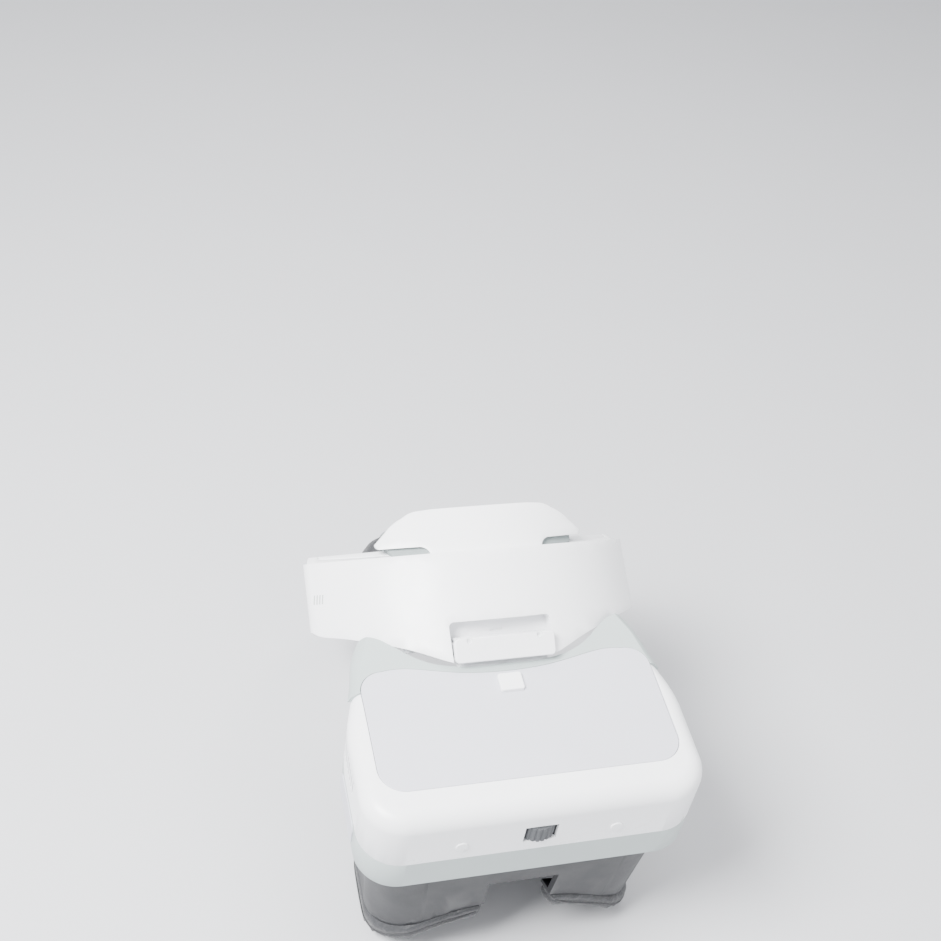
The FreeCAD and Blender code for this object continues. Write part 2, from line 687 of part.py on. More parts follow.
def front_bezel():
    """White front housing around the panel."""
    seat = panel_face(PANEL_SEAM, -1).extrude(V(0, PANEL_FRONT + PANEL_THICK + 1.02, 0))
    bezel = cut_all(bezel_prism(), [seat, cavity(), release_hole(0.6)])
    bezel = bezel.cut(rod((0, 0, -28), AXIS_Y, 2.0 + RUN_FIT, 12))
    bezel = cut_all(bezel, vent_slots())
    holes = [rod((x, 28, -120), AXIS_Z, 3.6 + RUN_FIT, 16) for x in (-44, 44)]
    return cut_all(bezel, port_openings(0.1) + holes + [knob_opening()])


def band_sweep():
    """Space behind the shoulders that the band passes through as the headset tilts."""
    still = plan_solid(-0.5, 110, -12, 24).common(band_outline(-0.5, 40))
    tip = V(CONE_TIP, 0, 0)
    rim = V(CONE_TIP + CONE_REACH / CONE_SLOPE, CONE_REACH, 0)
    corner = V(CONE_TIP, CONE_REACH, 0)
    cone = face_of([line(tip, rim), line(rim, corner), line(corner, tip)])
    cone = cone.revolve(V(0, 0, 0), AXIS_X, 100)
    cone.rotate(V(0, 0, 0), AXIS_X, 22)
    return [still, cone, mirrored(cone)]


def rear_body():
    """Light grey cover: the shoulders above the panel, the top and the rear half."""
    lip = body_outline(0, PANEL_FRONT + 0.5, True).extrude(V(0, LIP_BACK - PANEL_FRONT - 0.5, 0))
    lip = cut_all(lip, [block(-120, 120, -1, 20, -130, -24.0)] + band_sweep())
    top = body_outline(0, 7.0, False).extrude(V(0, BODY_BACK - 7.0, 0))
    top = top.cut(block(-120, 120, -1, BEZEL_BACK, -130, -24.0))
    cover = lip.fuse(top).common(shoulder_prism())
    cover = cut_all(cover, [bezel_prism(), cavity(), panel_face(PANEL_SEAM, -1).extrude(V(0, 4.62, 0))])
    return cut_all(cover, [headset_turned(mount_plate(), 1), top_button_hole()])


def headset_turned(shape, way):
    """Shape moved between the tilted place and the headset frame."""
    moved = shape.copy()
    moved.rotate(V(0, 0, 0), AXIS_X, way * HEADSET_TILT)
    return moved


def top_button_hole():
    """Opening for the power button in the top of the headset."""
    return rod((58, 34, -20), AXIS_Z, 4.5 + RUN_FIT, 12)


def knob_opening():
    """Slot in the underside where the lens-spacing knob shows."""
    return block(-9.4, 9.4, 18, 32, -116, -105)


def mask_outline(inset, y, scale):
    """Rounded outline of the face opening."""
    half = 88.0 * scale - inset
    return rounded_rect(-half, half, -108.0 * scale - 2 + inset, -15.0 - 6 * (1 - scale) - inset,
                        30.0 - inset, y)


def mask_loft(inset, y0, y1):
    """Tapered body between the housing and the face."""
    return Part.makeLoft([Part.Wire(mask_outline(inset, y0, 1.0).OuterWire.Edges),
                          Part.Wire(mask_outline(inset, y1, 0.94).OuterWire.Edges)], True, True)


def face_curve(middle, reach):
    """Everything behind the curve that the face makes, in plan."""
    return rod((0, middle + MASK_R, -160), AXIS_Z, MASK_R, 220).common(
        block(-120, 120, 60, middle + reach, -160, 60))


def nose_gap(y0, y1):
    """Rounded triangular gap for the nose."""
    edges = [
        line(V(-27, y0, -125), V(27, y0, -125)),
        line(V(27, y0, -125), V(9.5, y0, -78)),
        arc(V(9.5, y0, -78), V(0, y0, -71.5), V(-9.5, y0, -78)),
        line(V(-9.5, y0, -78), V(-27, y0, -125)),
    ]
    return face_of(edges).extrude(V(0, y1 - y0, 0))


def mask_frame():
    """Frame that carries the face pad, open at the back and for the nose."""
    frame = mask_loft(0, BODY_BACK, 145).cut(mask_loft(3.0, BODY_BACK - 0.01, 145.01))
    ledge = mask_loft(1.0, BODY_BACK, 145).cut(mask_loft(9.0, BODY_BACK - 0.01, 145.01))
    ledge = ledge.common(face_curve(MASK_MIDDLE - 3, 140)).common(block(-100, 100, 60, 170, -130, 0))
    frame = frame.fuse(ledge)
    return cut_all(frame, [face_curve(MASK_MIDDLE, 140), nose_gap(80, 170)])


def face_pad():
    """Soft ring between the frame and the face."""
    outer = slab(-84, 84, -109, -17, 30, 85, 165)
    inner = slab(-69, 69, -95, -31, 20, 80, 170)
    ring = outer.cut(inner).common(face_curve(MASK_MIDDLE + 0.2, 140))
    return cut_all(ring, [face_curve(MASK_MIDDLE + 0.2 + PAD_DEPTH, 160), nose_gap(80, 170)])


def optics_frame():
    """Plate behind the lenses, with two oblong openings and the posts of the guide rods."""
    plate = body_outline(WALL + 0.1, 58.0, False).extrude(V(0, 3, 0))
    posts = []
    for side in (-1, 1):
        plate = plate.cut(slab(side * EYE_HALF - 27, side * EYE_HALF + 27, EYE_Z - 22.6, EYE_Z + 22.6,
                               22.0, 50, 70))
        for z in (EYE_Z + 27, EYE_Z - 27):
            posts.append(block(side * 69 - 3, side * 69 + 3, 46, 58, z - 4, z + 4))
    plate = plate.fuse(posts)
    for z in (EYE_Z + 27, EYE_Z - 27):
        plate = plate.cut(rod((-80, 50, z), AXIS_X, RAIL_R, 160))
    return plate.cut(headset_screws())


def guide_rods():
    """Two steel rods that the lens barrels slide on."""
    return Part.makeCompound([rod((-72, 50, z), AXIS_X, RAIL_R, 144) for z in (EYE_Z + 27, EYE_Z - 27)])


def lens_barrel():
    """Barrel of the left eye with ears on the guide rods and its rack."""
    barrel = tube((EYE_HALF, 34, EYE_Z), AXIS_Y, LENS_R + 1.2, LENS_R - 1.2, 32)
    barrel = barrel.cut(rod((EYE_HALF, 59, EYE_Z), AXIS_Y, LENS_R, 8))
    ears = [block(EYE_HALF - 7, EYE_HALF + 7, 47, 53, EYE_Z + 20, EYE_Z + 30),
            block(EYE_HALF - 7, EYE_HALF + 7, 47, 53, EYE_Z - 30, EYE_Z - 20)]
    for ear in ears:
        barrel = barrel.fuse(ear.cut(rod((EYE_HALF, 30, EYE_Z), AXIS_Y, LENS_R, 40)))
    for z in (EYE_Z + 27, EYE_Z - 27):
        barrel = barrel.cut(rod((0, 50, z), AXIS_X, RAIL_R + RUN_FIT, 70))
    return barrel


def rack(above):
    """Rack on the left barrel's post, over or under the pinion."""
    near = IPD_Z + (IPD_PINION + 0.1) * (1 if above else -1)
    far = near + (2.6 if above else -2.6)
    low, high = min(near, far), max(near, far)
    bar = block(-13, 30, 33, 37, low, high)
    teeth = [block(-12 + 2.36 * i, -10.9 + 2.36 * i, 32.9, 37.1, near - 0.6, near + 0.6) for i in range(14)]
    post = block(25, 30, 33, 37, low, EYE_Z - 26)
    arm = block(25, 30, 33, 50, EYE_Z - 30, EYE_Z - 26)
    return cut_all(bar, teeth).fuse([post, arm])


def left_barrel():
    """Left barrel with its rack."""
    joined = lens_barrel().fuse(rack(True))
    return joined.cut(rod((0, 50, EYE_Z - 27), AXIS_X, RAIL_R + RUN_FIT, 70))


def right_barrel():
    """Right barrel with its rack."""
    joined = mirrored(lens_barrel().fuse(rack(False)))
    return joined.cut(rod((-70, 50, EYE_Z - 27), AXIS_X, RAIL_R + RUN_FIT, 70))


def left_lens():
    """Double-curved lens in the left barrel."""
    front = Part.makeSphere(60, V(EYE_HALF, 59.2 + 60, EYE_Z))
    back = Part.makeSphere(48, V(EYE_HALF, 65.6 - 48 + 3.0, EYE_Z))
    return rod((EYE_HALF, 59, EYE_Z), AXIS_Y, LENS_R, 9).common(front).common(back)


def display_module():
    """Two display panels in one carrier."""
    carrier = slab(-66, 66, EYE_Z - 26, EYE_Z + 26, 4, 26, 28)
    for side in (-1, 1):
        carrier = carrier.fuse(slab(side * EYE_HALF - 29, side * EYE_HALF + 29, EYE_Z - 22, EYE_Z + 22,
                                    1.5, 28, 29.4))
    return carrier


def main_board():
    """Circuit board behind the panel with its largest parts."""
    board = slab(-84, 84, -94, -24, 6, 10.0, 11.6)
    chips = [(4, 22, -50, -32), (28, 44, -56, -40), (52, 60, -88, -76), (8, 30, -84, -66), (40, 47, -80, -66),
             (64, 80, -50, -40)]
    for x0, x1, z0, z1 in chips:
        board = board.fuse(block(x0, x1, 11.6, 13.4, z0, z1))
    return board


def heat_sink():
    """Finned heat sink beside the fan."""
    sink = block(-38, -2, 11.6, 14, -80, -42)
    for index in range(10):
        x = -37.5 + 3.8 * index
        sink = sink.fuse(block(x, x + 1.2, 14, 21, -80, -42))
    return sink


def fan_frame():
    """Square frame of the cooling fan."""
    frame = slab(-82, -42, EYE_Z - 20, EYE_Z + 20, 4, 11.6, 22)
    frame = frame.cut(rod((-62, 13.2, EYE_Z), AXIS_Y, 18.4, 12))
    return frame.fuse(rod((-62, 13.2, EYE_Z), AXIS_Y, 1.5, 7))


def fan_rotor():
    """Hub and seven blades."""
    hub = rod((-62, 14.2, EYE_Z), AXIS_Y, 6.5, 6.5)
    for index in range(7):
        blade = block(5.5, 17.6, 14.8, 20.2, -0.6, 0.6)
        blade.rotate(V(0, 17.5, 0), AXIS_X, 34)
        blade = blade.common(rod((0, 14.4, 0), AXIS_Y, 17.6, 6.2))
        blade.rotate(V(0, 0, 0), AXIS_Y, 360 / 7 * index)
        blade.translate(V(-62, 0, EYE_Z))
        hub = hub.fuse(blade)
    return hub.cut(rod((-62, 13, EYE_Z), AXIS_Y, 1.5 + RUN_FIT, 7.4))


def antennas():
    """Two flat antennas under the top."""
    return Part.makeCompound([block(side * 60 - 16, side * 60 + 16, 11, 25, -18.6, -17.4) for side in (-1, 1)])


def ipd_knob():
    """Ribbed wheel under the lenses and its pinion."""
    wheel = rod((0, 19, IPD_Z), AXIS_Y, 11.6, 12)
    for index in range(24):
        groove = rod((11.9, 18, 0), AXIS_Y, 0.8, 14)
        groove.rotate(V(0, 0, 0), AXIS_Y, 15 * index)
        groove.translate(V(0, 0, IPD_Z))
        wheel = wheel.cut(groove)
    pinion = rod((0, 31, IPD_Z), AXIS_Y, IPD_PINION, 7)
    return wheel.fuse(pinion).cut(rod((0, 10, IPD_Z), AXIS_Y, 1.5 + RUN_FIT, 60))


def ipd_shaft():
    """Shaft of the wheel, held by two brackets on the floor of the housing."""
    shaft = rod((0, 15.5, IPD_Z), AXIS_Y, 1.5, 26)
    for y in (15.5, 39.0):
        shaft = shaft.fuse(block(-3, 3, y, y + 2.5, -109.5, IPD_Z + 3))
    return shaft


def usb_port():
    """Small data socket."""
    return block(86, 96.0, 20, 25, -52, -43).cut(block(87.5, 97, 20.7, 24.3, -51.2, -43.8))


def hdmi_port():
    """Video socket with its contact tongue."""
    shell = block(84, 97.0, 19, 26, -73, -58).cut(block(85.5, 98, 20.2, 24.8, -72, -59))
    return shell.fuse(block(85, 94, 22.1, 23.1, -70.5, -60.5))


def audio_jack():
    """Earphone socket."""
    return tube((83, 22.5, -80), AXIS_X, 3.4, 1.8, 14.2).fuse(rod((81.5, 22.5, -80), AXIS_X, 3.4, 1.6))


def dc_inlet():
    """Power inlet of the headset."""
    ring = tube((82, 22.5, -34), AXIS_X, 4.2, 2.75, 11.6).fuse(rod((80.5, 22.5, -34), AXIS_X, 4.2, 1.6))
    return ring.fuse(rod((81, 22.5, -34), AXIS_X, 0.65, 9))


def touch_pad():
    """Thin touch surface on the side of the rear half."""
    return slab(42.5, 60, -84, -46, 5, -0.6, 0.6)


def touch_place(shape):
    """Move the touch surface onto the side wall."""
    shape.rotate(V(0, 0, 0), AXIS_Z, 90)
    shape.translate(V(-HEAD_HALF, 0, 0))
    return shape


def proximity_sensor():
    """Small window between the lenses that notices a face."""
    return slab(-4, 4, -47, -41, 2, 61, 62.2)


def screw(x, y, z, axis, radius):
    """Pan-head screw with a cross recess; the head sits at the start point."""
    head = rod((x, y, z), axis, radius, 1.6).fuse(rod((x, y, z), axis * -1, radius * 0.5, 5))
    for turn in (0, 90):
        bar = block(-radius * 0.7, radius * 0.7, -0.3, 0.3, 0, 2)
        bar.rotate(V(0, 0, 0), AXIS_Z, turn)
        bar.Placement = FreeCAD.Placement(V(x, y, z) + axis * 0.9, FreeCAD.Rotation(AXIS_Z, axis)).multiply(
            bar.Placement)
        head = head.cut(bar)
    return head


SCREW_SPOTS = [(76, -34), (82, -62), (74, -96), (-76, -34), (-82, -62), (-74, -96)]


def headset_screws():
    """Screws that hold the optics plate."""
    return Part.makeCompound([screw(x, 61, z, AXIS_Y, 2.2) for x, z in SCREW_SPOTS])


def push_button(x, y, z_face, radius, down):
    """Round button with its stem; its face is at z_face."""
    way = 1 if down else -1
    cap_start = z_face if down else z_face - 4.2
    cap = rod((x, y, cap_start), AXIS_Z, radius, 4.2)
    cap = softened(cap, 0.5, lambda e: at_level(e, 2, z_face))
    stem = block(x - 1.2, x + 1.2, y - 1.2, y + 1.2, min(z_face, z_face + way * 6.2),
                 max(z_face, z_face + way * 6.2))
    return cap.fuse(stem)


def release_button():
    """Raised rectangular button that frees the headset from its mount."""
    cap = slab(-7, 7, -34, -22, 1.5, PANEL_FRONT - 2.2, PANEL_FRONT + 3.2)
    cap = softened(cap, 0.6, lambda e: at_level(e, 1, PANEL_FRONT - 2.2))
    return cap.fuse(rod((0, PANEL_FRONT + 3, -28), AXIS_Y, 2.0, 4.0))


def pad_screws():
    """Screws in the inner wall of the band, two on each side of the pad."""
    spots = [(x, z) for x in (-76, 76) for z in (24, 42)]
    heads = []
    inner_r = BAND_RADIUS - BAND_DEPTH
    for x, z in spots:
        y = BAND_FACE_Y + BAND_RADIUS - math.sqrt(inner_r ** 2 - x ** 2) + BAND_LEAN * (z - LEAN_Z)
        inward = V(-x, math.sqrt(inner_r ** 2 - x ** 2), 0).normalize()
        heads.append(screw(x, y, z, inward, 2.2))
    return Part.makeCompound(heads)


# ---- the whole object -----------------------------------------------------------------------

IN_BAND = {
    "band_shell": lambda: cut_all(band_shell(), underside_holes() + [level_window()]),
    "band_inner_frame": band_inner_frame,
    "band_top_trim": band_top_trim,
    "crest_plate": crest_plate,
    "crest_core": crest_core,
    "forehead_pad": forehead_pad,
    "battery_cells": battery_cells,
    "battery_board": battery_board,
    "level_lights": level_window,
    "power_socket": power_socket,
    "battery_button": battery_button,
    "button_guide": button_guide,
    "hinge_block": hinge_block,
    "hinge_pin": hinge_pin,
    "hinge_washers": hinge_washers,
    "pad_screws": pad_screws,
    "rear_strap": rear_strap,
    "rear_housing": rear_housing,
    "rear_pad": rear_pad,
    "tighten_knob": tighten_knob,
    "strap_pinion": strap_pinion,
    "mount_plate": mount_plate,
}

IN_HEADSET = {
    "front_panel": front_panel,
    "front_bezel": front_bezel,
    "rear_body": lambda: rear_body().cut(touch_place(touch_pad())),
    "mask_frame": mask_frame,
    "face_pad": face_pad,
    "optics_frame": optics_frame,
    "guide_rods": guide_rods,
    "left_barrel": left_barrel,
    "right_barrel": right_barrel,
    "left_lens": left_lens,
    "right_lens": lambda: mirrored(left_lens()),
    "display_module": display_module,
    "main_board": main_board,
    "heat_sink": heat_sink,
    "fan_frame": fan_frame,
    "fan_rotor": fan_rotor,
    "antennas": antennas,
    "ipd_knob": ipd_knob,
    "ipd_shaft": ipd_shaft,
    "usb_port": usb_port,
    "hdmi_port": hdmi_port,
    "audio_jack": audio_jack,
    "dc_inlet": dc_inlet,
    "touch_pad": lambda: touch_place(touch_pad()),
    "proximity_sensor": proximity_sensor,
    "headset_screws": headset_screws,
    "power_button": lambda: push_button(58, 34, -12.2, 4.5, False),
    "back_button": lambda: push_button(44, 28, -112.8, 3.6, True),
    "function_button": lambda: push_button(-44, 28, -112.8, 3.6, True),
    "release_button": release_button,
}


def standing(shape, tilt):
    """Turn a shape from its own frame to the standing pose."""
    shape.rotate(V(0, 0, 0), AXIS_X, -tilt)
    return shape


def build():
    """All nodes by name, in the part frame, and the shift that was made."""
    nodes = {name: standing(make(), STANDING_TILT) for name, make in IN_BAND.items()}
    for name, make in IN_HEADSET.items():
        nodes[name] = standing(make(), STANDING_TILT + HEADSET_TILT)
    box = FreeCAD.BoundBox()
    for shape in nodes.values():
        box.add(shape.optimalBoundingBox())
    shift = V(-box.Center.x, -box.Center.y, -box.ZMin)
    for shape in nodes.values():
        shape.translate(shift)
    return nodes, shift


def main():
    """Write one STEP file for each node."""
    os.makedirs("parts", exist_ok=True)
    nodes, shift = build()
    for name, shape in nodes.items():
        shape.exportStep(os.path.join("parts", name + ".step"))
        print(name, shape.isValid(), len(shape.Solids), round(shape.Volume / 1000, 2), "cm3")
    print("tilt axis at", [round(value, 3) for value in shift])


main()
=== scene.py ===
"""Looks of the head-worn video goggles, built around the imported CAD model."""
import json
import math

import bmesh
import bpy
from bpy.props import FloatProperty, IntProperty, PointerProperty, StringProperty
from mathutils import Matrix, Vector
from mathutils.bvhtree import BVHTree


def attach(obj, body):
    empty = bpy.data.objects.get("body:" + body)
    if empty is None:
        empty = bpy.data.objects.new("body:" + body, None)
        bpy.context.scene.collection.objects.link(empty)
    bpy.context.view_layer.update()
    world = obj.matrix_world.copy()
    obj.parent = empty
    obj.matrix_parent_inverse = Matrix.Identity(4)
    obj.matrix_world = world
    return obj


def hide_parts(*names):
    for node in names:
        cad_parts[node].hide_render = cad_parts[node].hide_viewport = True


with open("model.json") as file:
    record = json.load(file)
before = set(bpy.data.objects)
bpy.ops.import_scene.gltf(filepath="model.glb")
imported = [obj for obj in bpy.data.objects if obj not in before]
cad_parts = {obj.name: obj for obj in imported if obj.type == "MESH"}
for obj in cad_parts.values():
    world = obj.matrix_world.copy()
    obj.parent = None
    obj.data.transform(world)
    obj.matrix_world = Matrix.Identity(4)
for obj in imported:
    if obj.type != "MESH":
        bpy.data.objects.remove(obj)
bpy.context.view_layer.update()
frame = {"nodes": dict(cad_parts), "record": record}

bl_info = {
    "name": "Video goggles",
    "version": (1, 0, 0),
    "blender": (4, 5, 0),
    "location": "View3D > Sidebar > Goggles",
    "description": "Pads, stitching, trim, finishes and studio of a pair of head-worn video goggles",
    "category": "Object",
}

MM = 0.001
JOINTS = {joint["name"]: joint for joint in frame["record"]["behaviour"]["joints"]}
HINGE = Vector(JOINTS["headset_tilt"]["pos_m"])
RING_TILT = math.radians(43.9)      # the ring slopes down to the rear as the goggles stand
HEADSET_TILT = math.radians(40.8)   # the headset is tilted up on its hinge

# Places in millimetres, in the band's or the headset's own frame
LEAN = 0.277                        # the band leans back this much for each mm up
LEAN_Z = 54                         # height at which the band's plan curves are drawn
FOREHEAD_Y, FOREHEAD_R = 40.2, 81.8     # head side of the forehead pad, at its middle
NAPE_Y, NAPE_R = 144, 67.8              # centre and radius of the rear pad's head side
FACE_Y, FACE_R = 118.2, 110             # rear edge of the face pad, at its middle
SEAM_BEFORE_FACE = 8.5              # the face pad's piped seam lies this far in front of its edge
EYE_X, EYE_Y, EYE_Z = 32.0, 66.0, -58.0
DIMPLE_X, DIMPLE_Z = 21.0, 3.6      # dimples of the hinge plate
KNOB_Z = 35.0
MESH_ROWS, MESH_COLUMNS = 25, 10
MESH_PITCH = 1.6
MESH_LOW, MESH_FRONT, MESH_X = -75.0, 13.5, -94.5


# ---- places -----------------------------------------------------------------------------------

def turned(angle):
    """Matrix from a frame on the hinge to the frame of the standing object."""
    return Matrix.Translation(HINGE) @ Matrix.Rotation(-angle, 4, "X")


BAND = turned(RING_TILT)
HEADSET = turned(RING_TILT + HEADSET_TILT)


def mm(x, y, z):
    """Point given in millimetres."""
    return Vector((x, y, z)) * MM


# ---- node materials ---------------------------------------------------------------------------

def linear(code):
    """Linear colour from an sRGB hex code."""
    values = [int(code[i:i + 2], 16) / 255 for i in (1, 3, 5)]
    return [v / 12.92 if v <= 0.04045 else ((v + 0.055) / 1.055) ** 2.4 for v in values] + [1.0]


def put(tree, kind, settings=None, inputs=None):
    """Add a node, set its properties, and set or link its inputs."""
    made = tree.nodes.new(kind)
    for key, value in (settings or {}).items():
        setattr(made, key, value)
    for key, value in (inputs or {}).items():
        socket = made.inputs[key]
        if isinstance(value, bpy.types.NodeSocket):
            tree.links.new(value, socket)
        else:
            socket.default_value = value
    return made


def new_material(name):
    """Material with an empty node tree, its Principled shader and its Object coordinates."""
    material = bpy.data.materials.new(name)
    material.use_nodes = True
    tree = material.node_tree
    tree.nodes.clear()
    shader = put(tree, "ShaderNodeBsdfPrincipled")
    output = put(tree, "ShaderNodeOutputMaterial")
    tree.links.new(shader.outputs["BSDF"], output.inputs["Surface"])
    place = put(tree, "ShaderNodeTexCoord").outputs["Object"]
    return material, tree, shader, place


def noise(tree, place, size_mm, detail=2.0, rough=0.5, stretch=None):
    """Noise whose features measure about size_mm; stretch draws it out along an axis."""
    if stretch:
        place = put(tree, "ShaderNodeMapping", inputs={"Vector": place, "Scale": stretch}).outputs[0]
    made = put(tree, "ShaderNodeTexNoise", inputs={
        "Vector": place, "Scale": 1.0 / (size_mm * MM), "Detail": detail, "Roughness": rough})
    return made.outputs["Fac"]


def cells(tree, place, size_mm, feature="F1"):
    """Cell pattern whose cells measure about size_mm."""
    made = put(tree, "ShaderNodeTexVoronoi", {"feature": feature},
               {"Vector": place, "Scale": 1.0 / (size_mm * MM)})
    return made.outputs["Distance"]


def remap(tree, value, low, high, to_low, to_high):
    """Value moved from one range to another and held inside it."""
    made = put(tree, "ShaderNodeMapRange", inputs={
        "Value": value, "From Min": low, "From Max": high, "To Min": to_low, "To Max": to_high})
    return made.outputs["Result"]


def blend(tree, factor, first, second):
    """Colour between two colours."""
    made = put(tree, "ShaderNodeMix", {"data_type": "RGBA"},
               {"Factor": factor, "A": first, "B": second})
    return made.outputs[2]


def combine(tree, kind, first, second):
    """Two values put together by one math operation."""
    return put(tree, "ShaderNodeMath", {"operation": kind}, {0: first, 1: second}).outputs[0]


def bump(tree, shader, height, depth_mm, strength=1.0):
    """Relief of a given depth on the shader's normal."""
    made = put(tree, "ShaderNodeBump", inputs={
        "Height": height, "Distance": depth_mm * MM, "Strength": strength})
    tree.links.new(made.outputs["Normal"], shader.inputs["Normal"])


def edge_mask(tree, low=0.50, high=0.56):
    """White on sharp outer edges, where handling polishes or scuffs a surface."""
    point = put(tree, "ShaderNodeNewGeometry").outputs["Pointiness"]
    return remap(tree, point, low, high, 0.0, 1.0)


def moulded_plastic(name, colour, roughness, grain_mm, relief_mm, wear=0.25, ior=1.53):
    """Injection-moulded plastic: even colour, fine spark-eroded grain, edges a little polished."""
    material, tree, shader, place = new_material(name)
    base = linear(colour)
    dirty = [c * 0.93 for c in base[:3]] + [1.0]
    cloud = remap(tree, noise(tree, place, 45.0, 3.0), 0.35, 0.70, 0.0, 1.0)
    tone = blend(tree, cloud, base, [c * 0.975 for c in base[:3]] + [1.0])
    fine = remap(tree, noise(tree, place, grain_mm * 3, 4.0), 0.55, 0.80, 0.0, 0.35)
    tone = blend(tree, fine, tone, dirty)
    tree.links.new(tone, shader.inputs["Base Color"])
    matt = remap(tree, noise(tree, place, 18.0, 5.0), 0.3, 0.7, roughness - 0.04, roughness + 0.05)
    polish = combine(tree, "MULTIPLY", edge_mask(tree), wear * roughness)
    tree.links.new(combine(tree, "SUBTRACT", matt, polish), shader.inputs["Roughness"])
    grain = combine(tree, "ADD", noise(tree, place, grain_mm, 2.0), noise(tree, place, grain_mm * 0.4, 1.0))
    bump(tree, shader, grain, relief_mm)
    shader.inputs["IOR"].default_value = ior
    return material


def pad_leather(name, colour, grain_mm=1.3):
    """Embossed synthetic leather: pebbled cells, their creases darkened as painted shade, and a soft sheen.
    """
    material, tree, shader, place = new_material(name)
    base = linear(colour)
    warp = put(tree, "ShaderNodeTexNoise", inputs={"Vector": place, "Scale": 1 / (4 * MM), "Detail": 2.0})
    moved = put(tree, "ShaderNodeMix", {"data_type": "RGBA", "blend_type": "LINEAR_LIGHT"},
                {"Factor": 0.0009, "A": place, "B": warp.outputs["Color"]}).outputs[2]
    edge = cells(tree, moved, grain_mm, "DISTANCE_TO_EDGE")
    pebble = remap(tree, edge, 0.0, 0.22, 0.0, 1.0)
    # Creases between the pebbles darkened to under half the colour: painted shade in the hollows of the
    # grain
    crease_shade = [c * 0.45 for c in base[:3]] + [1.0]
    tone = blend(tree, pebble, crease_shade, base)
    cloud = remap(tree, noise(tree, place, 25.0, 4.0), 0.3, 0.7, 0.0, 0.5)
    tone = blend(tree, cloud, tone, [min(1.0, c * 1.35 + 0.004) for c in base[:3]] + [1.0])
    tree.links.new(tone, shader.inputs["Base Color"])
    tree.links.new(remap(tree, pebble, 0.0, 1.0, 0.72, 0.47), shader.inputs["Roughness"])
    height = combine(tree, "ADD", pebble, noise(tree, place, grain_mm * 0.35, 2.0))
    bump(tree, shader, height, 0.09)
    shader.inputs["Sheen Weight"].default_value = 0.15
    shader.inputs["Sheen Roughness"].default_value = 0.5
    return material


def worked_metal(name, colour, roughness, stretch, line_mm=0.12):
    """Ground or drawn metal: fine lines along the way it was worked, duller patches from handling."""
    material, tree, shader, place = new_material(name)
    lines = noise(tree, place, line_mm, 3.0, 0.6, stretch)
    tone = blend(tree, remap(tree, lines, 0.3, 0.7, 0.0, 1.0), linear(colour),
                 [c * 0.82 for c in linear(colour)[:3]] + [1.0])
    tree.links.new(tone, shader.inputs["Base Color"])
    patch = remap(tree, noise(tree, place, 9.0, 4.0), 0.3, 0.7, -0.06, 0.10)
    rough = combine(tree, "ADD", remap(tree, lines, 0.3, 0.7, roughness - 0.05, roughness + 0.08), patch)
    tree.links.new(rough, shader.inputs["Roughness"])
    bump(tree, shader, lines, 0.01)
    shader.inputs["Metallic"].default_value = 1.0
    return material


def coated_glass(name):
    """Coated optical glass: clear, sharp, with a faint cool film."""
    material, tree, shader, place = new_material(name)
    film = remap(tree, noise(tree, place, 12.0, 2.0), 0.3, 0.7, 0.0, 1.0)
    tree.links.new(blend(tree, film, linear("#E9F2F8"), linear("#F3EEF8")), shader.inputs["Base Color"])
    smudge = remap(tree, noise(tree, place, 6.0, 5.0), 0.4, 0.8, 0.015, 0.05)
    tree.links.new(smudge, shader.inputs["Roughness"])
    shader.inputs["Transmission Weight"].default_value = 0.92
    shader.inputs["IOR"].default_value = 1.52
    shader.inputs["Coat Weight"].default_value = 1.0
    shader.inputs["Coat Roughness"].default_value = 0.02
    shader.inputs["Coat Tint"].default_value = linear("#B9C8F2")
    return material


def display_stack(name):
    """Dark bonded display: glossy glass over a fine grid of cells."""
    material, tree, shader, place = new_material(name)
    grid = put(tree, "ShaderNodeTexBrick", {"offset": 0.0}, {
        "Vector": place, "Scale": 1 / (2.0 * MM), "Color1": linear("#14161D"), "Color2": linear("#181B24"),
        "Mortar": linear("#07080A"), "Mortar Size": 0.04})
    tree.links.new(grid.outputs["Color"], shader.inputs["Base Color"])
    smudge = remap(tree, noise(tree, place, 8.0, 4.0), 0.3, 0.8, 0.06, 0.16)
    tree.links.new(smudge, shader.inputs["Roughness"])
    shader.inputs["Coat Weight"].default_value = 1.0
    shader.inputs["Coat Roughness"].default_value = 0.04
    return material


def solder_mask(name):
    """Green circuit board: lacquer over raised copper tracks."""
    material, tree, shader, place = new_material(name)
    tracks = put(tree, "ShaderNodeTexVoronoi", {"feature": "F1", "distance": "MANHATTAN"},
                 {"Vector": place, "Scale": 1 / (5.0 * MM)}).outputs["Distance"]
    bands = combine(tree, "PINGPONG", combine(tree, "MULTIPLY", tracks, 6.0), 0.5)
    copper = remap(tree, bands, 0.22, 0.30, 0.0, 1.0)
    tree.links.new(blend(tree, copper, linear("#0C3B22"), linear("#17603A")), shader.inputs["Base Color"])
    smudge = remap(tree, noise(tree, place, 5.0, 3.0), 0.3, 0.7, 0.28, 0.42)
    tree.links.new(smudge, shader.inputs["Roughness"])
    bump(tree, shader, copper, 0.05)
    return material


def shrink_film(name):
    """Blue shrink film: glossy, with soft ripples where it was heated."""
    material, tree, shader, place = new_material(name)
    ripple = noise(tree, place, 7.0, 2.0, 0.5, (1.0, 1.0, 0.3))
    tree.links.new(blend(tree, ripple, linear("#1F3E86"), linear("#2A55A8")), shader.inputs["Base Color"])
    tree.links.new(remap(tree, ripple, 0.3, 0.7, 0.18, 0.30), shader.inputs["Roughness"])
    bump(tree, shader, ripple, 0.3)
    return material


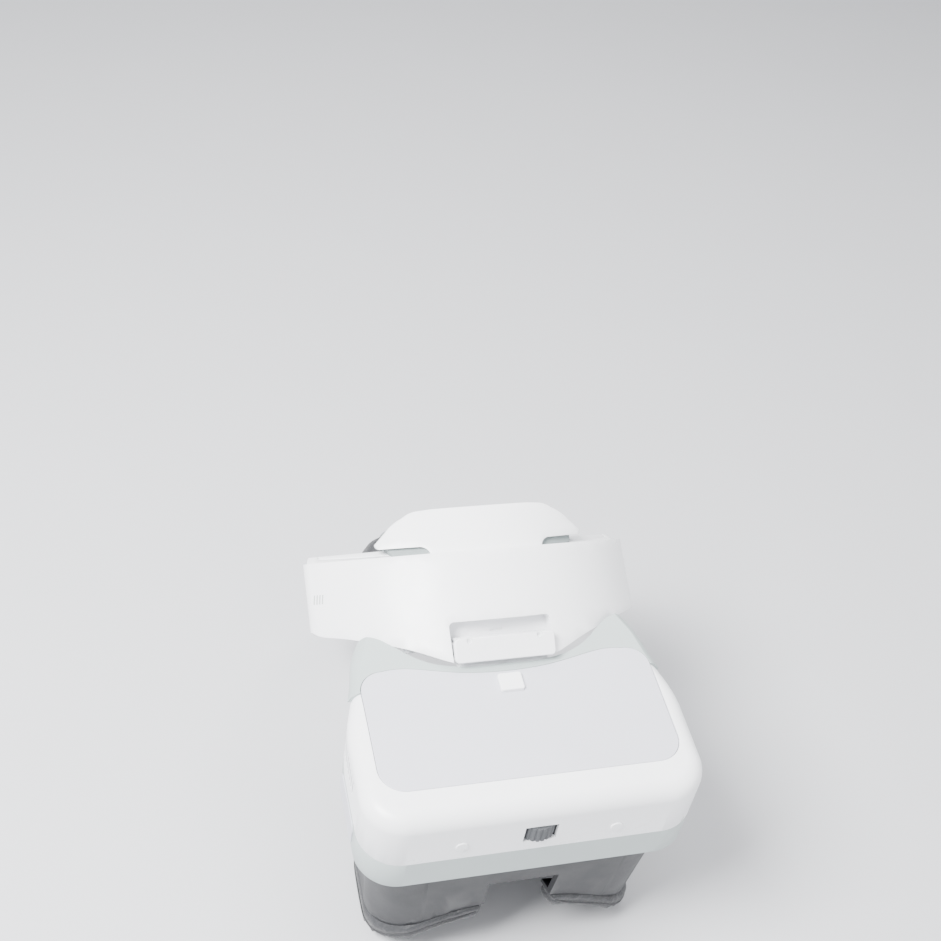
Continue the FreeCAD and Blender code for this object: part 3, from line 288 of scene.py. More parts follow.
def light_pipe(name):
    """Frosted light pipe: milky plastic with a soft mottle."""
    material, tree, shader, place = new_material(name)
    mottle = noise(tree, place, 0.8, 3.0)
    tree.links.new(blend(tree, mottle, linear("#A4ABA8"), linear("#BFC5C2")), shader.inputs["Base Color"])
    tree.links.new(remap(tree, mottle, 0.3, 0.7, 0.30, 0.45), shader.inputs["Roughness"])
    shader.inputs["Subsurface Weight"].default_value = 0.2
    shader.inputs["Subsurface Radius"].default_value = (0.001, 0.001, 0.001)
    return material


def sewing_thread(name, colour):
    """Twisted polyester thread: fine slanting ply lines and a little sheen."""
    material, tree, shader, place = new_material(name)
    ply = put(tree, "ShaderNodeTexWave", {"bands_direction": "DIAGONAL"},
              {"Vector": place, "Scale": 1 / (2.4 * MM), "Distortion": 1.0, "Detail": 1.0}).outputs["Fac"]
    base = linear(colour)
    tree.links.new(blend(tree, ply, [c * 0.6 for c in base[:3]] + [1.0], base), shader.inputs["Base Color"])
    tree.links.new(remap(tree, ply, 0.0, 1.0, 0.75, 0.55), shader.inputs["Roughness"])
    bump(tree, shader, ply, 0.06)
    shader.inputs["Sheen Weight"].default_value = 0.2
    return material


def studio_sweep(name, colour):
    """Painted studio floor: matt, with the faintest roller mottle."""
    material, tree, shader, place = new_material(name)
    mottle = remap(tree, noise(tree, place, 120.0, 4.0), 0.3, 0.7, 0.0, 1.0)
    base = linear(colour)
    darker = [c * 0.985 for c in base[:3]] + [1.0]
    tree.links.new(blend(tree, mottle, base, darker), shader.inputs["Base Color"])
    tree.links.new(remap(tree, mottle, 0.0, 1.0, 0.82, 0.90), shader.inputs["Roughness"])
    return material


# ---- mesh helpers -----------------------------------------------------------------------------

def piece(name, bm, material, body, smooth=True):
    """Mesh object from a bmesh, with its finish, on its body."""
    mesh = bpy.data.meshes.new(name)
    bm.to_mesh(mesh)
    bm.free()
    made = bpy.data.objects.new(name, mesh)
    bpy.context.scene.collection.objects.link(made)
    mesh.materials.append(material)
    if smooth:
        mesh.shade_smooth()
    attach(made, body)
    return made


def rounded(made, width_mm, segments=2, angle=35.0):
    """Soften the sharp edges of a piece with a small round."""
    bevel = made.modifiers.new("round", "BEVEL")
    bevel.width = width_mm * MM
    bevel.segments = segments
    bevel.profile = 0.5
    bevel.limit_method = "ANGLE"
    bevel.angle_limit = math.radians(angle)
    bevel.harden_normals = True
    return made


def node_bmesh(node):
    """Merged copy of a CAD node's surface."""
    bm = bmesh.new()
    bm.from_mesh(frame["nodes"][node].data)
    bmesh.ops.remove_doubles(bm, verts=bm.verts, dist=0.01 * MM)
    bmesh.ops.recalc_face_normals(bm, faces=bm.faces)
    return bm


def surface_of(made):
    """Search tree over a piece's finished surface."""
    depsgraph = bpy.context.evaluated_depsgraph_get()
    return BVHTree.FromObject(made, depsgraph)


def along_path(points, closed):
    """Points with their tangents, one after the other."""
    count = len(points)
    for index, point in enumerate(points):
        before = points[index - 1] if closed or index else point
        after = points[(index + 1) % count] if closed or index + 1 < count else point
        yield point, (after - before).normalized()


def spaced(points, step, closed):
    """Points at even distances along a chain of points."""
    chain = list(points) + ([points[0]] if closed else [])
    lengths = [0.0]
    for first, second in zip(chain, chain[1:]):
        lengths.append(lengths[-1] + (second - first).length)
    count = max(2, round(lengths[-1] / step))
    result = []
    index = 0
    for k in range(count if closed else count + 1):
        target = lengths[-1] * k / count
        while index < len(chain) - 2 and lengths[index + 1] < target:
            index += 1
        span = max(lengths[index + 1] - lengths[index], 1e-9)
        result.append(chain[index].lerp(chain[index + 1], (target - lengths[index]) / span))
    return result


def tube(bm, points, radius, closed=False, sides=8, squash=1.0):
    """Round tube through points, added to a bmesh; squash flattens it against the surface."""
    rings = []
    for point, tangent in along_path(points, closed):
        side = tangent.orthogonal().normalized()
        if rings:
            side = (last_side - tangent * last_side.dot(tangent)).normalized()
        last_side = side
        up = tangent.cross(side)
        ring = []
        for k in range(sides):
            turn = 2 * math.pi * k / sides
            ring.append(bm.verts.new(point + side * (radius * math.cos(turn))
                                     + up * (radius * squash * math.sin(turn))))
        rings.append(ring)
    pairs = list(zip(rings, rings[1:]))
    if closed:
        start, end = rings[0], rings[-1]
        shift = min(range(sides), key=lambda k: (start[k].co - end[0].co).length)
        pairs.append((end, start[shift:] + start[:shift]))
    for first, second in pairs:
        for k in range(sides):
            bm.faces.new((first[k], first[(k + 1) % sides], second[(k + 1) % sides], second[k]))
    if not closed:
        bm.faces.new(list(reversed(rings[0])))
        bm.faces.new(rings[-1])
    bmesh.ops.recalc_face_normals(bm, faces=bm.faces)


def slab_bmesh(low, high, radius, place, segments=4):
    """Box between two corners in millimetres, its edges along Y rounded, moved by a matrix."""
    bm = bmesh.new()
    size = Vector(high) - Vector(low)
    centre = (Vector(high) + Vector(low)) / 2
    bmesh.ops.create_cube(bm, size=1.0, matrix=Matrix.Translation(centre * MM) @ Matrix.Diagonal(
        (*(size * MM), 1.0)))
    uprights = [e for e in bm.edges if abs((e.verts[0].co - e.verts[1].co).normalized().y) > 0.99]
    if radius:
        bmesh.ops.bevel(bm, geom=uprights, offset=radius * MM, affect="EDGES", segments=segments,
                        profile=0.5, material=-1)
    bmesh.ops.transform(bm, matrix=place, verts=bm.verts)
    return bm


def join_bmesh(target, extra):
    """Add one bmesh to another."""
    mesh = bpy.data.meshes.new("part")
    extra.to_mesh(mesh)
    extra.free()
    target.from_mesh(mesh)
    bpy.data.meshes.remove(mesh)


def disc_bmesh(centre, axis, radius, height, place, sides=48):
    """Closed disc or short rod along an axis, in millimetres."""
    bm = bmesh.new()
    turn = Vector((0, 0, 1)).rotation_difference(Vector(axis)).to_matrix().to_4x4()
    middle = Vector(centre) * MM + Vector(axis) * (height * MM / 2)
    bmesh.ops.create_cone(bm, cap_ends=True, segments=sides, radius1=radius * MM, radius2=radius * MM,
                          depth=height * MM, matrix=place @ Matrix.Translation(middle) @ turn)
    return bm


def ring_bmesh(centre, outer, inner, depth, place, sides=96, round_mm=0.3):
    """Ring around the Y axis of a frame, with rounded rims."""
    bm = bmesh.new()
    section = [(inner, 0), (outer, 0), (outer, depth), (inner, depth)]
    verts = [bm.verts.new(mm(centre[0] + r, centre[1] + y, centre[2])) for r, y in section]
    face = bm.faces.new(verts)
    bmesh.ops.bevel(bm, geom=list(face.verts), offset=round_mm * MM, affect="VERTICES", segments=3,
                    profile=0.5, material=-1)
    bmesh.ops.spin(bm, geom=bm.faces[:] + bm.edges[:] + bm.verts[:], cent=mm(*centre), axis=(0, 1, 0),
                   angle=2 * math.pi, steps=sides, use_merge=True, use_duplicate=False)
    flat = [f for f in bm.faces if len(f.verts) > 4]
    bmesh.ops.delete(bm, geom=flat, context="FACES_ONLY")
    bmesh.ops.remove_doubles(bm, verts=bm.verts, dist=0.001 * MM)
    bmesh.ops.recalc_face_normals(bm, faces=bm.faces)
    bmesh.ops.transform(bm, matrix=place, verts=bm.verts)
    return bm


# ---- padded pieces ----------------------------------------------------------------------------

def cushion(name, node, material, body, voxel_mm, pressure, cap_mm, shrink_mm, frames):
    """Stuffed piece from a CAD solid: remeshed, blown up as cloth, and held near its start."""
    bm = node_bmesh(node)
    bm.normal_update()
    for vert in bm.verts:
        vert.co -= vert.normal * (shrink_mm * MM)
    made = piece(name, bm, material, body)
    remesh = made.modifiers.new("remesh", "REMESH")
    remesh.mode = "VOXEL"
    remesh.voxel_size = voxel_mm * MM
    apply_modifiers(made)
    inflate(made, pressure, cap_mm, frames)
    smooth = made.modifiers.new("smooth", "SMOOTH")
    smooth.factor = 0.5
    smooth.iterations = 3
    apply_modifiers(made)
    finer = made.modifiers.new("finer", "SUBSURF")
    finer.levels = 1
    finer.render_levels = 1
    apply_modifiers(made)
    made.data.shade_smooth()
    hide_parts(node)
    return made


def apply_modifiers(made):
    """Put the result of a piece's modifiers in its mesh."""
    depsgraph = bpy.context.evaluated_depsgraph_get()
    result = bpy.data.meshes.new_from_object(made.evaluated_get(depsgraph), depsgraph=depsgraph)
    made.modifiers.clear()
    old = made.data
    made.data = result
    bpy.data.meshes.remove(old)


def inflate(made, pressure, cap_mm, frames):
    """Blow a closed mesh up with cloth pressure, no further than the cap at any point."""
    start = [vert.co.copy() for vert in made.data.vertices]
    cloth = made.modifiers.new("cloth", "CLOTH")
    cloth.settings.use_pressure = True
    cloth.settings.uniform_pressure_force = pressure
    cloth.settings.tension_stiffness = 25
    cloth.settings.compression_stiffness = 25
    cloth.settings.bending_stiffness = 0.6
    cloth.settings.effector_weights.gravity = 0
    cloth.point_cache.frame_start = 1
    cloth.point_cache.frame_end = frames
    scene = bpy.context.scene
    for number in range(1, frames + 1):
        scene.frame_set(number)
    depsgraph = bpy.context.evaluated_depsgraph_get()
    blown = made.evaluated_get(depsgraph).data
    ends = [vert.co.copy() for vert in blown.vertices]
    made.modifiers.remove(cloth)
    scene.frame_set(1)
    for vert, first, last in zip(made.data.vertices, start, ends):
        move = last - first
        limit = cap_mm * MM
        if move.length > limit:
            move *= limit / move.length
        vert.co = first + move


def press_channels(made, place, distance, depth_mm, width_mm):
    """Sink sewn channels: distance(point in mm) gives how far a point is from the nearest one."""
    inverse = place.inverted()
    normals = [vert.normal.copy() for vert in made.data.vertices]
    for vert, normal in zip(made.data.vertices, normals):
        local = (inverse @ vert.co) / MM
        sunk = depth_mm * math.exp(-(distance(local, inverse.to_3x3() @ normal) / width_mm) ** 2)
        vert.co -= normal * (sunk * MM)


def stitches(name, target, points, closed, body, thread, pitch_mm=3.4, length_mm=2.3, radius_mm=0.34):
    """Row of thread stitches that lie on a piece's surface along a path."""
    tree = surface_of(target)
    landed = [tree.find_nearest(point) for point in spaced(points, pitch_mm * MM, closed)]
    centres = [hit[0] for hit in landed]
    normals = [hit[1] for hit in landed]
    bm = bmesh.new()
    for (centre, tangent), normal in zip(along_path(centres, closed), normals):
        half = tangent * (length_mm * MM / 2)
        sink = normal * (radius_mm * MM * 0.7)
        rise = normal * (radius_mm * MM * 0.45)
        chain = [centre - half - sink, centre - half * 0.7 + rise * 0.5, centre + rise,
                 centre + half * 0.7 + rise * 0.5, centre + half - sink]
        tube(bm, chain, radius_mm * MM, sides=6)
    return piece(name, bm, thread, body)


def welt(name, target, points, closed, body, material, radius_mm=0.9, sink=0.35):
    """Piped seam: a cord in leather that lies half sunk along a path on a piece."""
    tree = surface_of(target)
    landed = [tree.find_nearest(point) for point in spaced(points, 3.0 * MM, closed)]
    chain = [hit[0] - hit[1] * (radius_mm * MM * sink) for hit in landed]
    for _ in range(3):
        chain = relaxed(chain, closed)
    bm = bmesh.new()
    tube(bm, chain, radius_mm * MM, closed, sides=10)
    return piece(name, bm, material, body)


def relaxed(chain, closed):
    """Chain of points with each drawn towards the middle of its neighbours."""
    result = []
    for index, point in enumerate(chain):
        if not closed and index in (0, len(chain) - 1):
            result.append(point)
            continue
        middle = (chain[index - 1] + chain[(index + 1) % len(chain)]) / 2
        result.append(point.lerp(middle, 0.5))
    return result


# ---- settings ---------------------------------------------------------------------------------

class GogglesColours(bpy.types.PropertyGroup):
    """Colours that set the look of the goggles."""

    shell: StringProperty(
        name="Shell", description="sRGB hex code of the white housings", default="#F7F8FA")
    panel: StringProperty(
        name="Front panel", description="sRGB hex code of the lacquered front panel", default="#C8C9D1")
    cover: StringProperty(
        name="Cover", description="sRGB hex code of the grey cover and trim", default="#A9B3B2")
    pad: StringProperty(
        name="Pad leather", description="sRGB hex code of the pads' synthetic leather", default="#2B2C2F")
    floor: StringProperty(
        name="Floor", description="sRGB hex code of the studio floor", default="#C6C7CA")


class GogglesSizes(bpy.types.PropertyGroup):
    """Sizes of the soft pieces and trim."""

    swell: FloatProperty(
        name="Pad swell", description="Furthest that a pad's cover may bulge",
        subtype="DISTANCE", unit="LENGTH", default=0.0022, min=0.0, max=0.006)
    channel_depth: FloatProperty(
        name="Channel depth", description="How deep a sewn channel sinks into a pad",
        subtype="DISTANCE", unit="LENGTH", default=0.0026, min=0.0, max=0.008)
    welt_radius: FloatProperty(
        name="Welt radius", description="Radius of the piped seams",
        subtype="DISTANCE", unit="LENGTH", default=0.0009, min=0.0003, max=0.003)
    stitch_pitch: FloatProperty(
        name="Stitch pitch", description="Distance from one stitch to the next",
        subtype="DISTANCE", unit="LENGTH", default=0.0034, min=0.001, max=0.01)
    sim_frames: IntProperty(
        name="Frames", description="Frames for which a pad is blown up", default=20, min=2, max=60)


class GogglesStudio(bpy.types.PropertyGroup):
    """Camera and light."""

    lens: FloatProperty(
        name="Lens", description="Focal length on a 36 mm sensor",
        subtype="DISTANCE_CAMERA", default=53.99, min=10.0, max=300.0)
    azimuth: FloatProperty(
        name="Azimuth", description="Camera's turn about the ring's own axis",
        subtype="ANGLE", default=math.radians(-14.04))
    elevation: FloatProperty(
        name="Elevation", description="Camera's height above the ring's own plane",
        subtype="ANGLE", default=math.radians(-3.69))
    roll: FloatProperty(
        name="Roll", description="Camera's roll about its line of sight",
        subtype="ANGLE", default=math.radians(-4.76))
    distance: FloatProperty(
        name="Distance", description="From the point that the camera looks at",
        subtype="DISTANCE", unit="LENGTH", default=0.82595)
    aim_right: FloatProperty(
        name="Aim right", description="Point looked at, to the right of the hinge",
        subtype="DISTANCE", unit="LENGTH", default=-0.00869)
    aim_up: FloatProperty(
        name="Aim up", description="Point looked at, above the hinge",
        subtype="DISTANCE", unit="LENGTH", default=0.1021)
    key_power: FloatProperty(
        name="Key light", description="Power of the key light in watts", default=75.0)
    fill_power: FloatProperty(
        name="Fill light", description="Power of the fill light in watts", default=10.0)
    top_power: FloatProperty(
        name="Top light", description="Power of the top light in watts", default=20.0)
    sky: FloatProperty(
        name="Sky", description="Strength of the even white surroundings", default=1.0)


def settings():
    """The scene's own settings."""
    return bpy.context.scene.goggles


class GogglesSettings(bpy.types.PropertyGroup):
    """All settings of the goggles."""

    colours: PointerProperty(name="Colours", description="Colours", type=GogglesColours)
    sizes: PointerProperty(name="Sizes", description="Sizes", type=GogglesSizes)
    studio: PointerProperty(name="Studio", description="Camera and light", type=GogglesStudio)


# ---- finishes ---------------------------------------------------------------------------------

def finishes():
    """Every material of the goggles by a plain name."""
    colours = settings().colours
    return {
        # Satin ABS from a fine-textured mould: nearly matt white with broad soft highlights
        "white_abs": moulded_plastic("white_abs_moulded", colours.shell, 0.36, 0.5, 0.012),
        # Soft-touch lacquer sprayed on the panel: cooler, greyer and flatter than the shell
        "panel_lacquer": moulded_plastic(
            "soft_lacquer_sprayed", colours.panel, 0.50, 0.35, 0.008, wear=0.1),
        # Carrier of glass-filled nylon under the crest, coarser and duller than the cover; its dark grey is
        # painted shade for the gap under the crest, the part itself being a light grey
        "carrier": moulded_plastic("carrier_painted_shade_grey", "#7F8888", 0.55, 0.7, 0.02),
        # Grey ABS with the same mould texture, a little green in the grey
        "grey_abs": moulded_plastic("grey_abs_moulded", colours.cover, 0.45, 0.5, 0.014),
        # Black ABS with a coarse leather-like mould texture
        "black_abs": moulded_plastic("black_abs_textured", "#1C1D20", 0.50, 0.8, 0.05, wear=0.35),
        # Nylon strap: tough, slightly translucent grey
        "nylon": moulded_plastic("nylon_strap_moulded", "#8D9293", 0.48, 0.6, 0.02, wear=0.4),
        # Soft rubber of the ribbed wheels: dull and dark
        "rubber": moulded_plastic("grip_rubber_moulded", "#4A4C4F", 0.72, 0.4, 0.03, wear=0.2, ior=1.5),
        # Ground steel: fine lines one way that stretch the highlight
        "steel": worked_metal("steel_ground", "#A7A8AA", 0.30, (1.0, 12.0, 12.0)),
        # Machined brass: warm, with a satin of turning marks
        "brass": worked_metal("brass_machined", "#B8954E", 0.32, (12.0, 12.0, 1.0)),
        # Black anodised aluminium: dark and satin, with a metal edge
        "black_aluminium": worked_metal("aluminium_black_anodised", "#3A3C40", 0.42, (12.0, 1.0, 12.0)),
        # Coated lens glass: clear, with a faint violet film
        "glass": coated_glass("optical_glass_coated"),
        # Bonded display: deep black gloss over a faint grid
        "display": display_stack("display_glass_bonded"),
        # Lacquered board: green gloss with raised tracks
        "board": solder_mask("circuit_board_lacquered"),
        # Heat-shrunk film on the cells: blue gloss with soft ripples
        "film": shrink_film("shrink_film_blue"),
        # Frosted light pipes: milky grey bars that let a little light in
        "light_pipe": light_pipe("light_pipe_frosted"),
        # Embossed synthetic leather: dark pebbles with duller creases, darkened by painted shade
        "leather": pad_leather("pad_leather_embossed", colours.pad),
        # The same leather, finer, around the welt's cord
        "piping": pad_leather("welt_leather_embossed", "#232427", 0.8),
        # Polyester thread: grey twist that stands out on the leather
        "thread": sewing_thread("polyester_thread", "#5B5E63"),
        # Moulded mesh behind the slots: grey, so that the slots read softly
        "mesh": moulded_plastic("vent_mesh_moulded", "#8C9092", 0.55, 0.3, 0.02),
    }


CAD_FINISH = {
    "white_abs": ["band_shell", "band_top_trim", "band_inner_frame", "crest_plate", "battery_button",
                  "hinge_block", "rear_housing", "mount_plate", "front_bezel", "power_button",
                  "back_button", "function_button", "release_button"],
    "panel_lacquer": ["front_panel", "touch_pad"],
    "grey_abs": ["rear_body"],
    # crest_core gets the darker grey that is painted shade under the crest
    "carrier": ["crest_core"],
    "black_abs": ["power_socket", "button_guide", "mask_frame", "optics_frame", "left_barrel",
                  "right_barrel", "fan_frame", "fan_rotor", "audio_jack", "dc_inlet"],
    "nylon": ["rear_strap"],
    "rubber": ["tighten_knob", "ipd_knob"],
    "steel": ["hinge_pin", "hinge_washers", "pad_screws", "guide_rods", "ipd_shaft", "usb_port",
              "hdmi_port", "headset_screws"],
    "brass": ["strap_pinion", "antennas"],
    "black_aluminium": ["heat_sink"],
    "glass": ["left_lens", "right_lens"],
    "display": ["display_module", "proximity_sensor"],
    "board": ["main_board", "battery_board"],
    "film": ["battery_cells"],
    "light_pipe": ["level_lights"],
    "leather": ["forehead_pad", "rear_pad", "face_pad"],
}

# Width in millimetres of the round on a node's sharp edges, where it isn't the usual one
EDGE_ROUND = {"band_shell": 0.5, "crest_plate": 0.6, "front_bezel": 0.3, "front_panel": 0.2,
              "rear_body": 0.6, "rear_housing": 0.5, "crest_core": 0.8, "mount_plate": 0.3}
PLAIN_EDGES = {"left_lens", "right_lens", "strap_pinion", "fan_rotor", "ipd_knob", "tighten_knob"}
USUAL_ROUND = 0.25
MATERIALS = {}


class GOGGLES_OT_finishes(bpy.types.Operator):
    """Give every CAD part its finish and soften its edges"""

    bl_idname = "goggles.finishes"
    bl_label = "Finish the CAD parts"

    def execute(self, context):
        MATERIALS.update(finishes())
        for finish, nodes in CAD_FINISH.items():
            for node in nodes:
                self.finish(frame["nodes"][node], node, MATERIALS[finish])
        return {"FINISHED"}

    def finish(self, made, node, material):
        """One part's material, merged surface and rounded edges."""
        if not made.material_slots:
            made.data.materials.append(material)
        for slot in made.material_slots:
            slot.material = material
        weld = made.modifiers.new("weld", "WELD")
        weld.merge_threshold = 0.005 * MM
        if node not in PLAIN_EDGES:
            rounded(made, EDGE_ROUND.get(node, USUAL_ROUND), 2)


# ---- pads -------------------------------------------------------------------------------------

def rect_path(half, low, high, radius, gap=0.0, steps=8):
    """Points (x, z) around a rounded rectangle, from the middle of its bottom; gap leaves room there."""
    corners = [(half - radius, low + radius, -90), (half - radius, high - radius, 0),
               (radius - half, high - radius, 90), (radius - half, low + radius, 180)]
    points = [(gap, low)]
    for cx, cz, start in corners:
        for k in range(steps + 1):
            turn = math.radians(start + 90 * k / steps)
            points.append((cx + radius * math.cos(turn), cz + radius * math.sin(turn)))
    points.append((-gap, low))
    return points


def on_forehead(x, z, lift=0.0):
    """Point on the head side of the forehead pad."""
    return BAND @ mm(
        x, FOREHEAD_Y + FOREHEAD_R - math.sqrt(FOREHEAD_R ** 2 - x * x) + LEAN * (z - LEAN_Z) + lift, z)


def on_nape(x, z, lift=0.0):
    """Point on the head side of the rear pad."""
    return BAND @ mm(x, NAPE_Y + math.sqrt(NAPE_R ** 2 - x * x) - lift, z)


def face_depth(x):
    """Depth of the face pad's rear edge at a distance from the middle, in millimetres."""
    return FACE_Y + FACE_R - math.sqrt(FACE_R ** 2 - x * x)


class GOGGLES_OT_forehead_pad(bpy.types.Operator):
    """Make the stuffed forehead pad with its channels, stitching and welt"""

    bl_idname = "goggles.forehead_pad"
    bl_label = "Forehead pad"

    def execute(self, context):
        sizes = settings().sizes
        pad = cushion("forehead_cushion", "forehead_pad", MATERIALS["leather"], "headband",
                      3.6, 4.0, sizes.swell / MM, 1.0, sizes.sim_frames)
        depth = sizes.channel_depth / MM

        def to_channel(point, normal):
            return abs(abs(point.x) - 24.0) if normal.y > 0.3 else 99.0

        press_channels(pad, BAND, to_channel, depth, 2.0)
        border = [on_forehead(x, z) for x, z in rect_path(57.0, 17.0, 61.0, 10.0)]
        stitches("forehead_stitches", pad, border, True, "headband", MATERIALS["thread"],
                 sizes.stitch_pitch / MM)
        for side in (-1, 1):
            seam = [on_forehead(side * 24.0, z) for z in range(17, 62, 2)]
            name = "forehead_channel_" + ("left" if side > 0 else "right")
            stitches(name, pad, seam, False, "headband", MATERIALS["thread"], sizes.stitch_pitch / MM)
        rim = [on_forehead(x, z, -1.0) for x, z in rect_path(65.0, 9.0, 69.0, 13.0)]
        welt("forehead_welt", pad, rim, True, "headband", MATERIALS["piping"], sizes.welt_radius / MM)
        return {"FINISHED"}


class GOGGLES_OT_rear_pad(bpy.types.Operator):
    """Make the stuffed pad at the back of the head with its channels, stitching and welt"""

    bl_idname = "goggles.rear_pad"
    bl_label = "Rear pad"

    def execute(self, context):
        sizes = settings().sizes
        pad = cushion("rear_cushion", "rear_pad", MATERIALS["leather"], "rear_cradle",
                      3.6, 4.0, sizes.swell / MM, 1.0, sizes.sim_frames)

        def to_channel(point, normal):
            return abs(abs(point.x) - 17.0) if normal.y < -0.3 else 99.0

        press_channels(pad, BAND, to_channel, sizes.channel_depth / MM, 2.0)
        border = [on_nape(x, z) for x, z in rect_path(42.0, 12.0, 50.0, 11.0)]
        stitches("rear_stitches", pad, border, True, "rear_cradle", MATERIALS["thread"],
                 sizes.stitch_pitch / MM)
        for side in (-1, 1):
            seam = [on_nape(side * 17.0, z) for z in range(12, 51, 2)]
            name = "rear_channel_" + ("left" if side > 0 else "right")
            stitches(name, pad, seam, False, "rear_cradle", MATERIALS["thread"], sizes.stitch_pitch / MM)
        rim = [on_nape(x, z, -1.0) for x, z in rect_path(49.0, 5.0, 57.0, 16.0)]
        welt("rear_welt", pad, rim, True, "rear_cradle", MATERIALS["piping"], sizes.welt_radius / MM)
        return {"FINISHED"}


class GOGGLES_OT_face_pad(bpy.types.Operator):
    """Make the stuffed ring that meets the face, with its seam and stitching"""

    bl_idname = "goggles.face_pad"
    bl_label = "Face pad"

    def execute(self, context):
        sizes = settings().sizes
        pad = cushion("face_cushion", "face_pad", MATERIALS["leather"], "headset",
                      3.2, 3.5, sizes.swell / MM, 0.8, sizes.sim_frames)

        def to_seam(point, normal):
            return abs(point.y - face_depth(point.x) + SEAM_BEFORE_FACE) if abs(normal.y) < 0.6 else 99.0

        press_channels(pad, HEADSET, to_seam, 0.9, 1.3)
        ring = rect_path(76.5, -102.0, -24.0, 24.0, gap=26.0)
        border = [HEADSET @ mm(x, face_depth(x) + 1.0, z) for x, z in ring]
        stitches("face_stitches", pad, border, False, "headset", MATERIALS["thread"],
                 sizes.stitch_pitch / MM)
        side = rect_path(85.0, -110.0, -16.0, 30.0, gap=24.0)
        seam = [HEADSET @ mm(x, face_depth(x) - SEAM_BEFORE_FACE, z) for x, z in side]
        welt("face_welt", pad, seam, False, "headset", MATERIALS["piping"], 0.7)
        return {"FINISHED"}


# ---- trim -------------------------------------------------------------------------------------

class GOGGLES_OT_vent_mesh(bpy.types.Operator):
    """Make the woven mesh behind the vent slots"""

    bl_idname = "goggles.vent_mesh"
    bl_label = "Vent mesh"

    def execute(self, context):
        bm = bmesh.new()
        for row in range(MESH_ROWS):
            z = MESH_LOW + MESH_PITCH * row
            weave = [HEADSET @ mm(MESH_X + 0.12 * (-1) ** (k + row), MESH_FRONT + MESH_PITCH * k, z)
                     for k in range(MESH_COLUMNS)]
            tube(bm, weave, 0.22 * MM, sides=5)
        for column in range(MESH_COLUMNS):
            y = MESH_FRONT + MESH_PITCH * column
            weave = [HEADSET @ mm(MESH_X - 0.12 * (-1) ** (k + column), y, MESH_LOW + MESH_PITCH * k)
                     for k in range(MESH_ROWS)]
            tube(bm, weave, 0.22 * MM, sides=5)
        piece("vent_mesh", bm, MATERIALS["mesh"], "headset")
        return {"FINISHED"}


class GOGGLES_OT_eye_trim(bpy.types.Operator):
    """Make the rim of each lens and the sliding shield around its barrel"""

    bl_idname = "goggles.eye_trim"
    bl_label = "Lens rims and shields"

    def execute(self, context):
        for side, name, body in ((1, "left", "left_optic"), (-1, "right", "right_optic")):
            eye = (side * EYE_X, EYE_Y, EYE_Z)
            rim = ring_bmesh(eye, 23.0, 19.6, 1.6, HEADSET, round_mm=0.4)
            for k in range(48):
                turn = 2 * math.pi * k / 48
                grip = disc_bmesh((eye[0] + 23.0 * math.cos(turn), 66.3, eye[2] + 23.0 * math.sin(turn)),
                                  (0, 1, 0), 0.45, 1.0, HEADSET, sides=8)
                join_bmesh(rim, grip)
            piece(name + "_lens_rim", rim, MATERIALS["black_abs"], body)
            inner, outer = sorted((side * 5.5, side * 62.0))
            shield = slab_bmesh((inner, 61.5, -84.0), (outer, 62.3, -32.0), 10.0, Matrix.Identity(4), 6)
            hole = disc_bmesh((eye[0], 60.0, eye[2]), (0, 1, 0), 22.5, 4.0, Matrix.Identity(4), 64)
            made = piece(name + "_eye_shield", shield, MATERIALS["black_abs"], body, False)
            cut_with(made, hole)
            made.data.transform(HEADSET)
            rounded(made, 0.2)
        return {"FINISHED"}


def cut_with(made, tool_bm):
    """Take a closed shape out of a piece."""
    mesh = bpy.data.meshes.new("cutter")
    tool_bm.to_mesh(mesh)
    tool_bm.free()
    tool = bpy.data.objects.new("cutter", mesh)
    bpy.context.scene.collection.objects.link(tool)
    boolean = made.modifiers.new("cut", "BOOLEAN")
    boolean.object = tool
    boolean.operation = "DIFFERENCE"
    boolean.solver = "EXACT"
    bpy.context.view_layer.update()
    apply_modifiers(made)
    bpy.data.objects.remove(tool)
    bpy.data.meshes.remove(mesh)


def cross_screw(centre, axis, radius, place):
    """Small countersunk screw head with rounded rims, as a bmesh in place; its cross recess is cut where it
    is used.
    """
    bm = disc_bmesh(centre, axis, radius, 0.9, place, 32)
    rims = [e for e in bm.edges if len(e.link_faces) == 2
            and abs(e.link_faces[0].normal.dot(e.link_faces[1].normal)) < 0.3]
    bmesh.ops.bevel(bm, geom=rims, offset=0.2 * MM, affect="EDGES", segments=2, profile=0.5, material=-1)
    return bm


class GOGGLES_OT_hinge_screws(bpy.types.Operator):
    """Make the two small screws in the dimples of the hinge plate"""

    bl_idname = "goggles.hinge_screws"
    bl_label = "Hinge screws"

    def execute(self, context):
        for side, name in ((1, "left"), (-1, "right")):
            head = cross_screw((side * DIMPLE_X, -12.6, DIMPLE_Z), (0, 1, 0), 1.75, Matrix.Identity(4))
            made = piece(name + "_hinge_screw", head, MATERIALS["white_abs"], "headset",
                         False)
            for half_x, half_z in ((1.1, 0.25), (0.25, 1.1)):
                slot = slab_bmesh((side * DIMPLE_X - half_x, -13.2, DIMPLE_Z - half_z),
                                  (side * DIMPLE_X + half_x, -12.1, DIMPLE_Z + half_z), 0,
                                  Matrix.Identity(4))
                cut_with(made, slot)
            made.data.transform(BAND)
        return {"FINISHED"}


class GOGGLES_OT_knob_cap(bpy.types.Operator):
    """Make the cap and ring in the middle of the tightening knob"""

    bl_idname = "goggles.knob_cap"
    bl_label = "Knob cap"

    def execute(self, context):
        cap = disc_bmesh((0, 248.6, KNOB_Z), (0, 1, 0), 7.5, 0.9, BAND, 64)
        join_bmesh(cap, ring_bmesh((0, 248.9, KNOB_Z), 11.0, 9.8, 0.7, BAND, 96, 0.25))
        rounded(piece("knob_cap", cap, MATERIALS["grey_abs"], "tighten_knob"), 0.25)
        return {"FINISHED"}


# ---- studio -----------------------------------------------------------------------------------

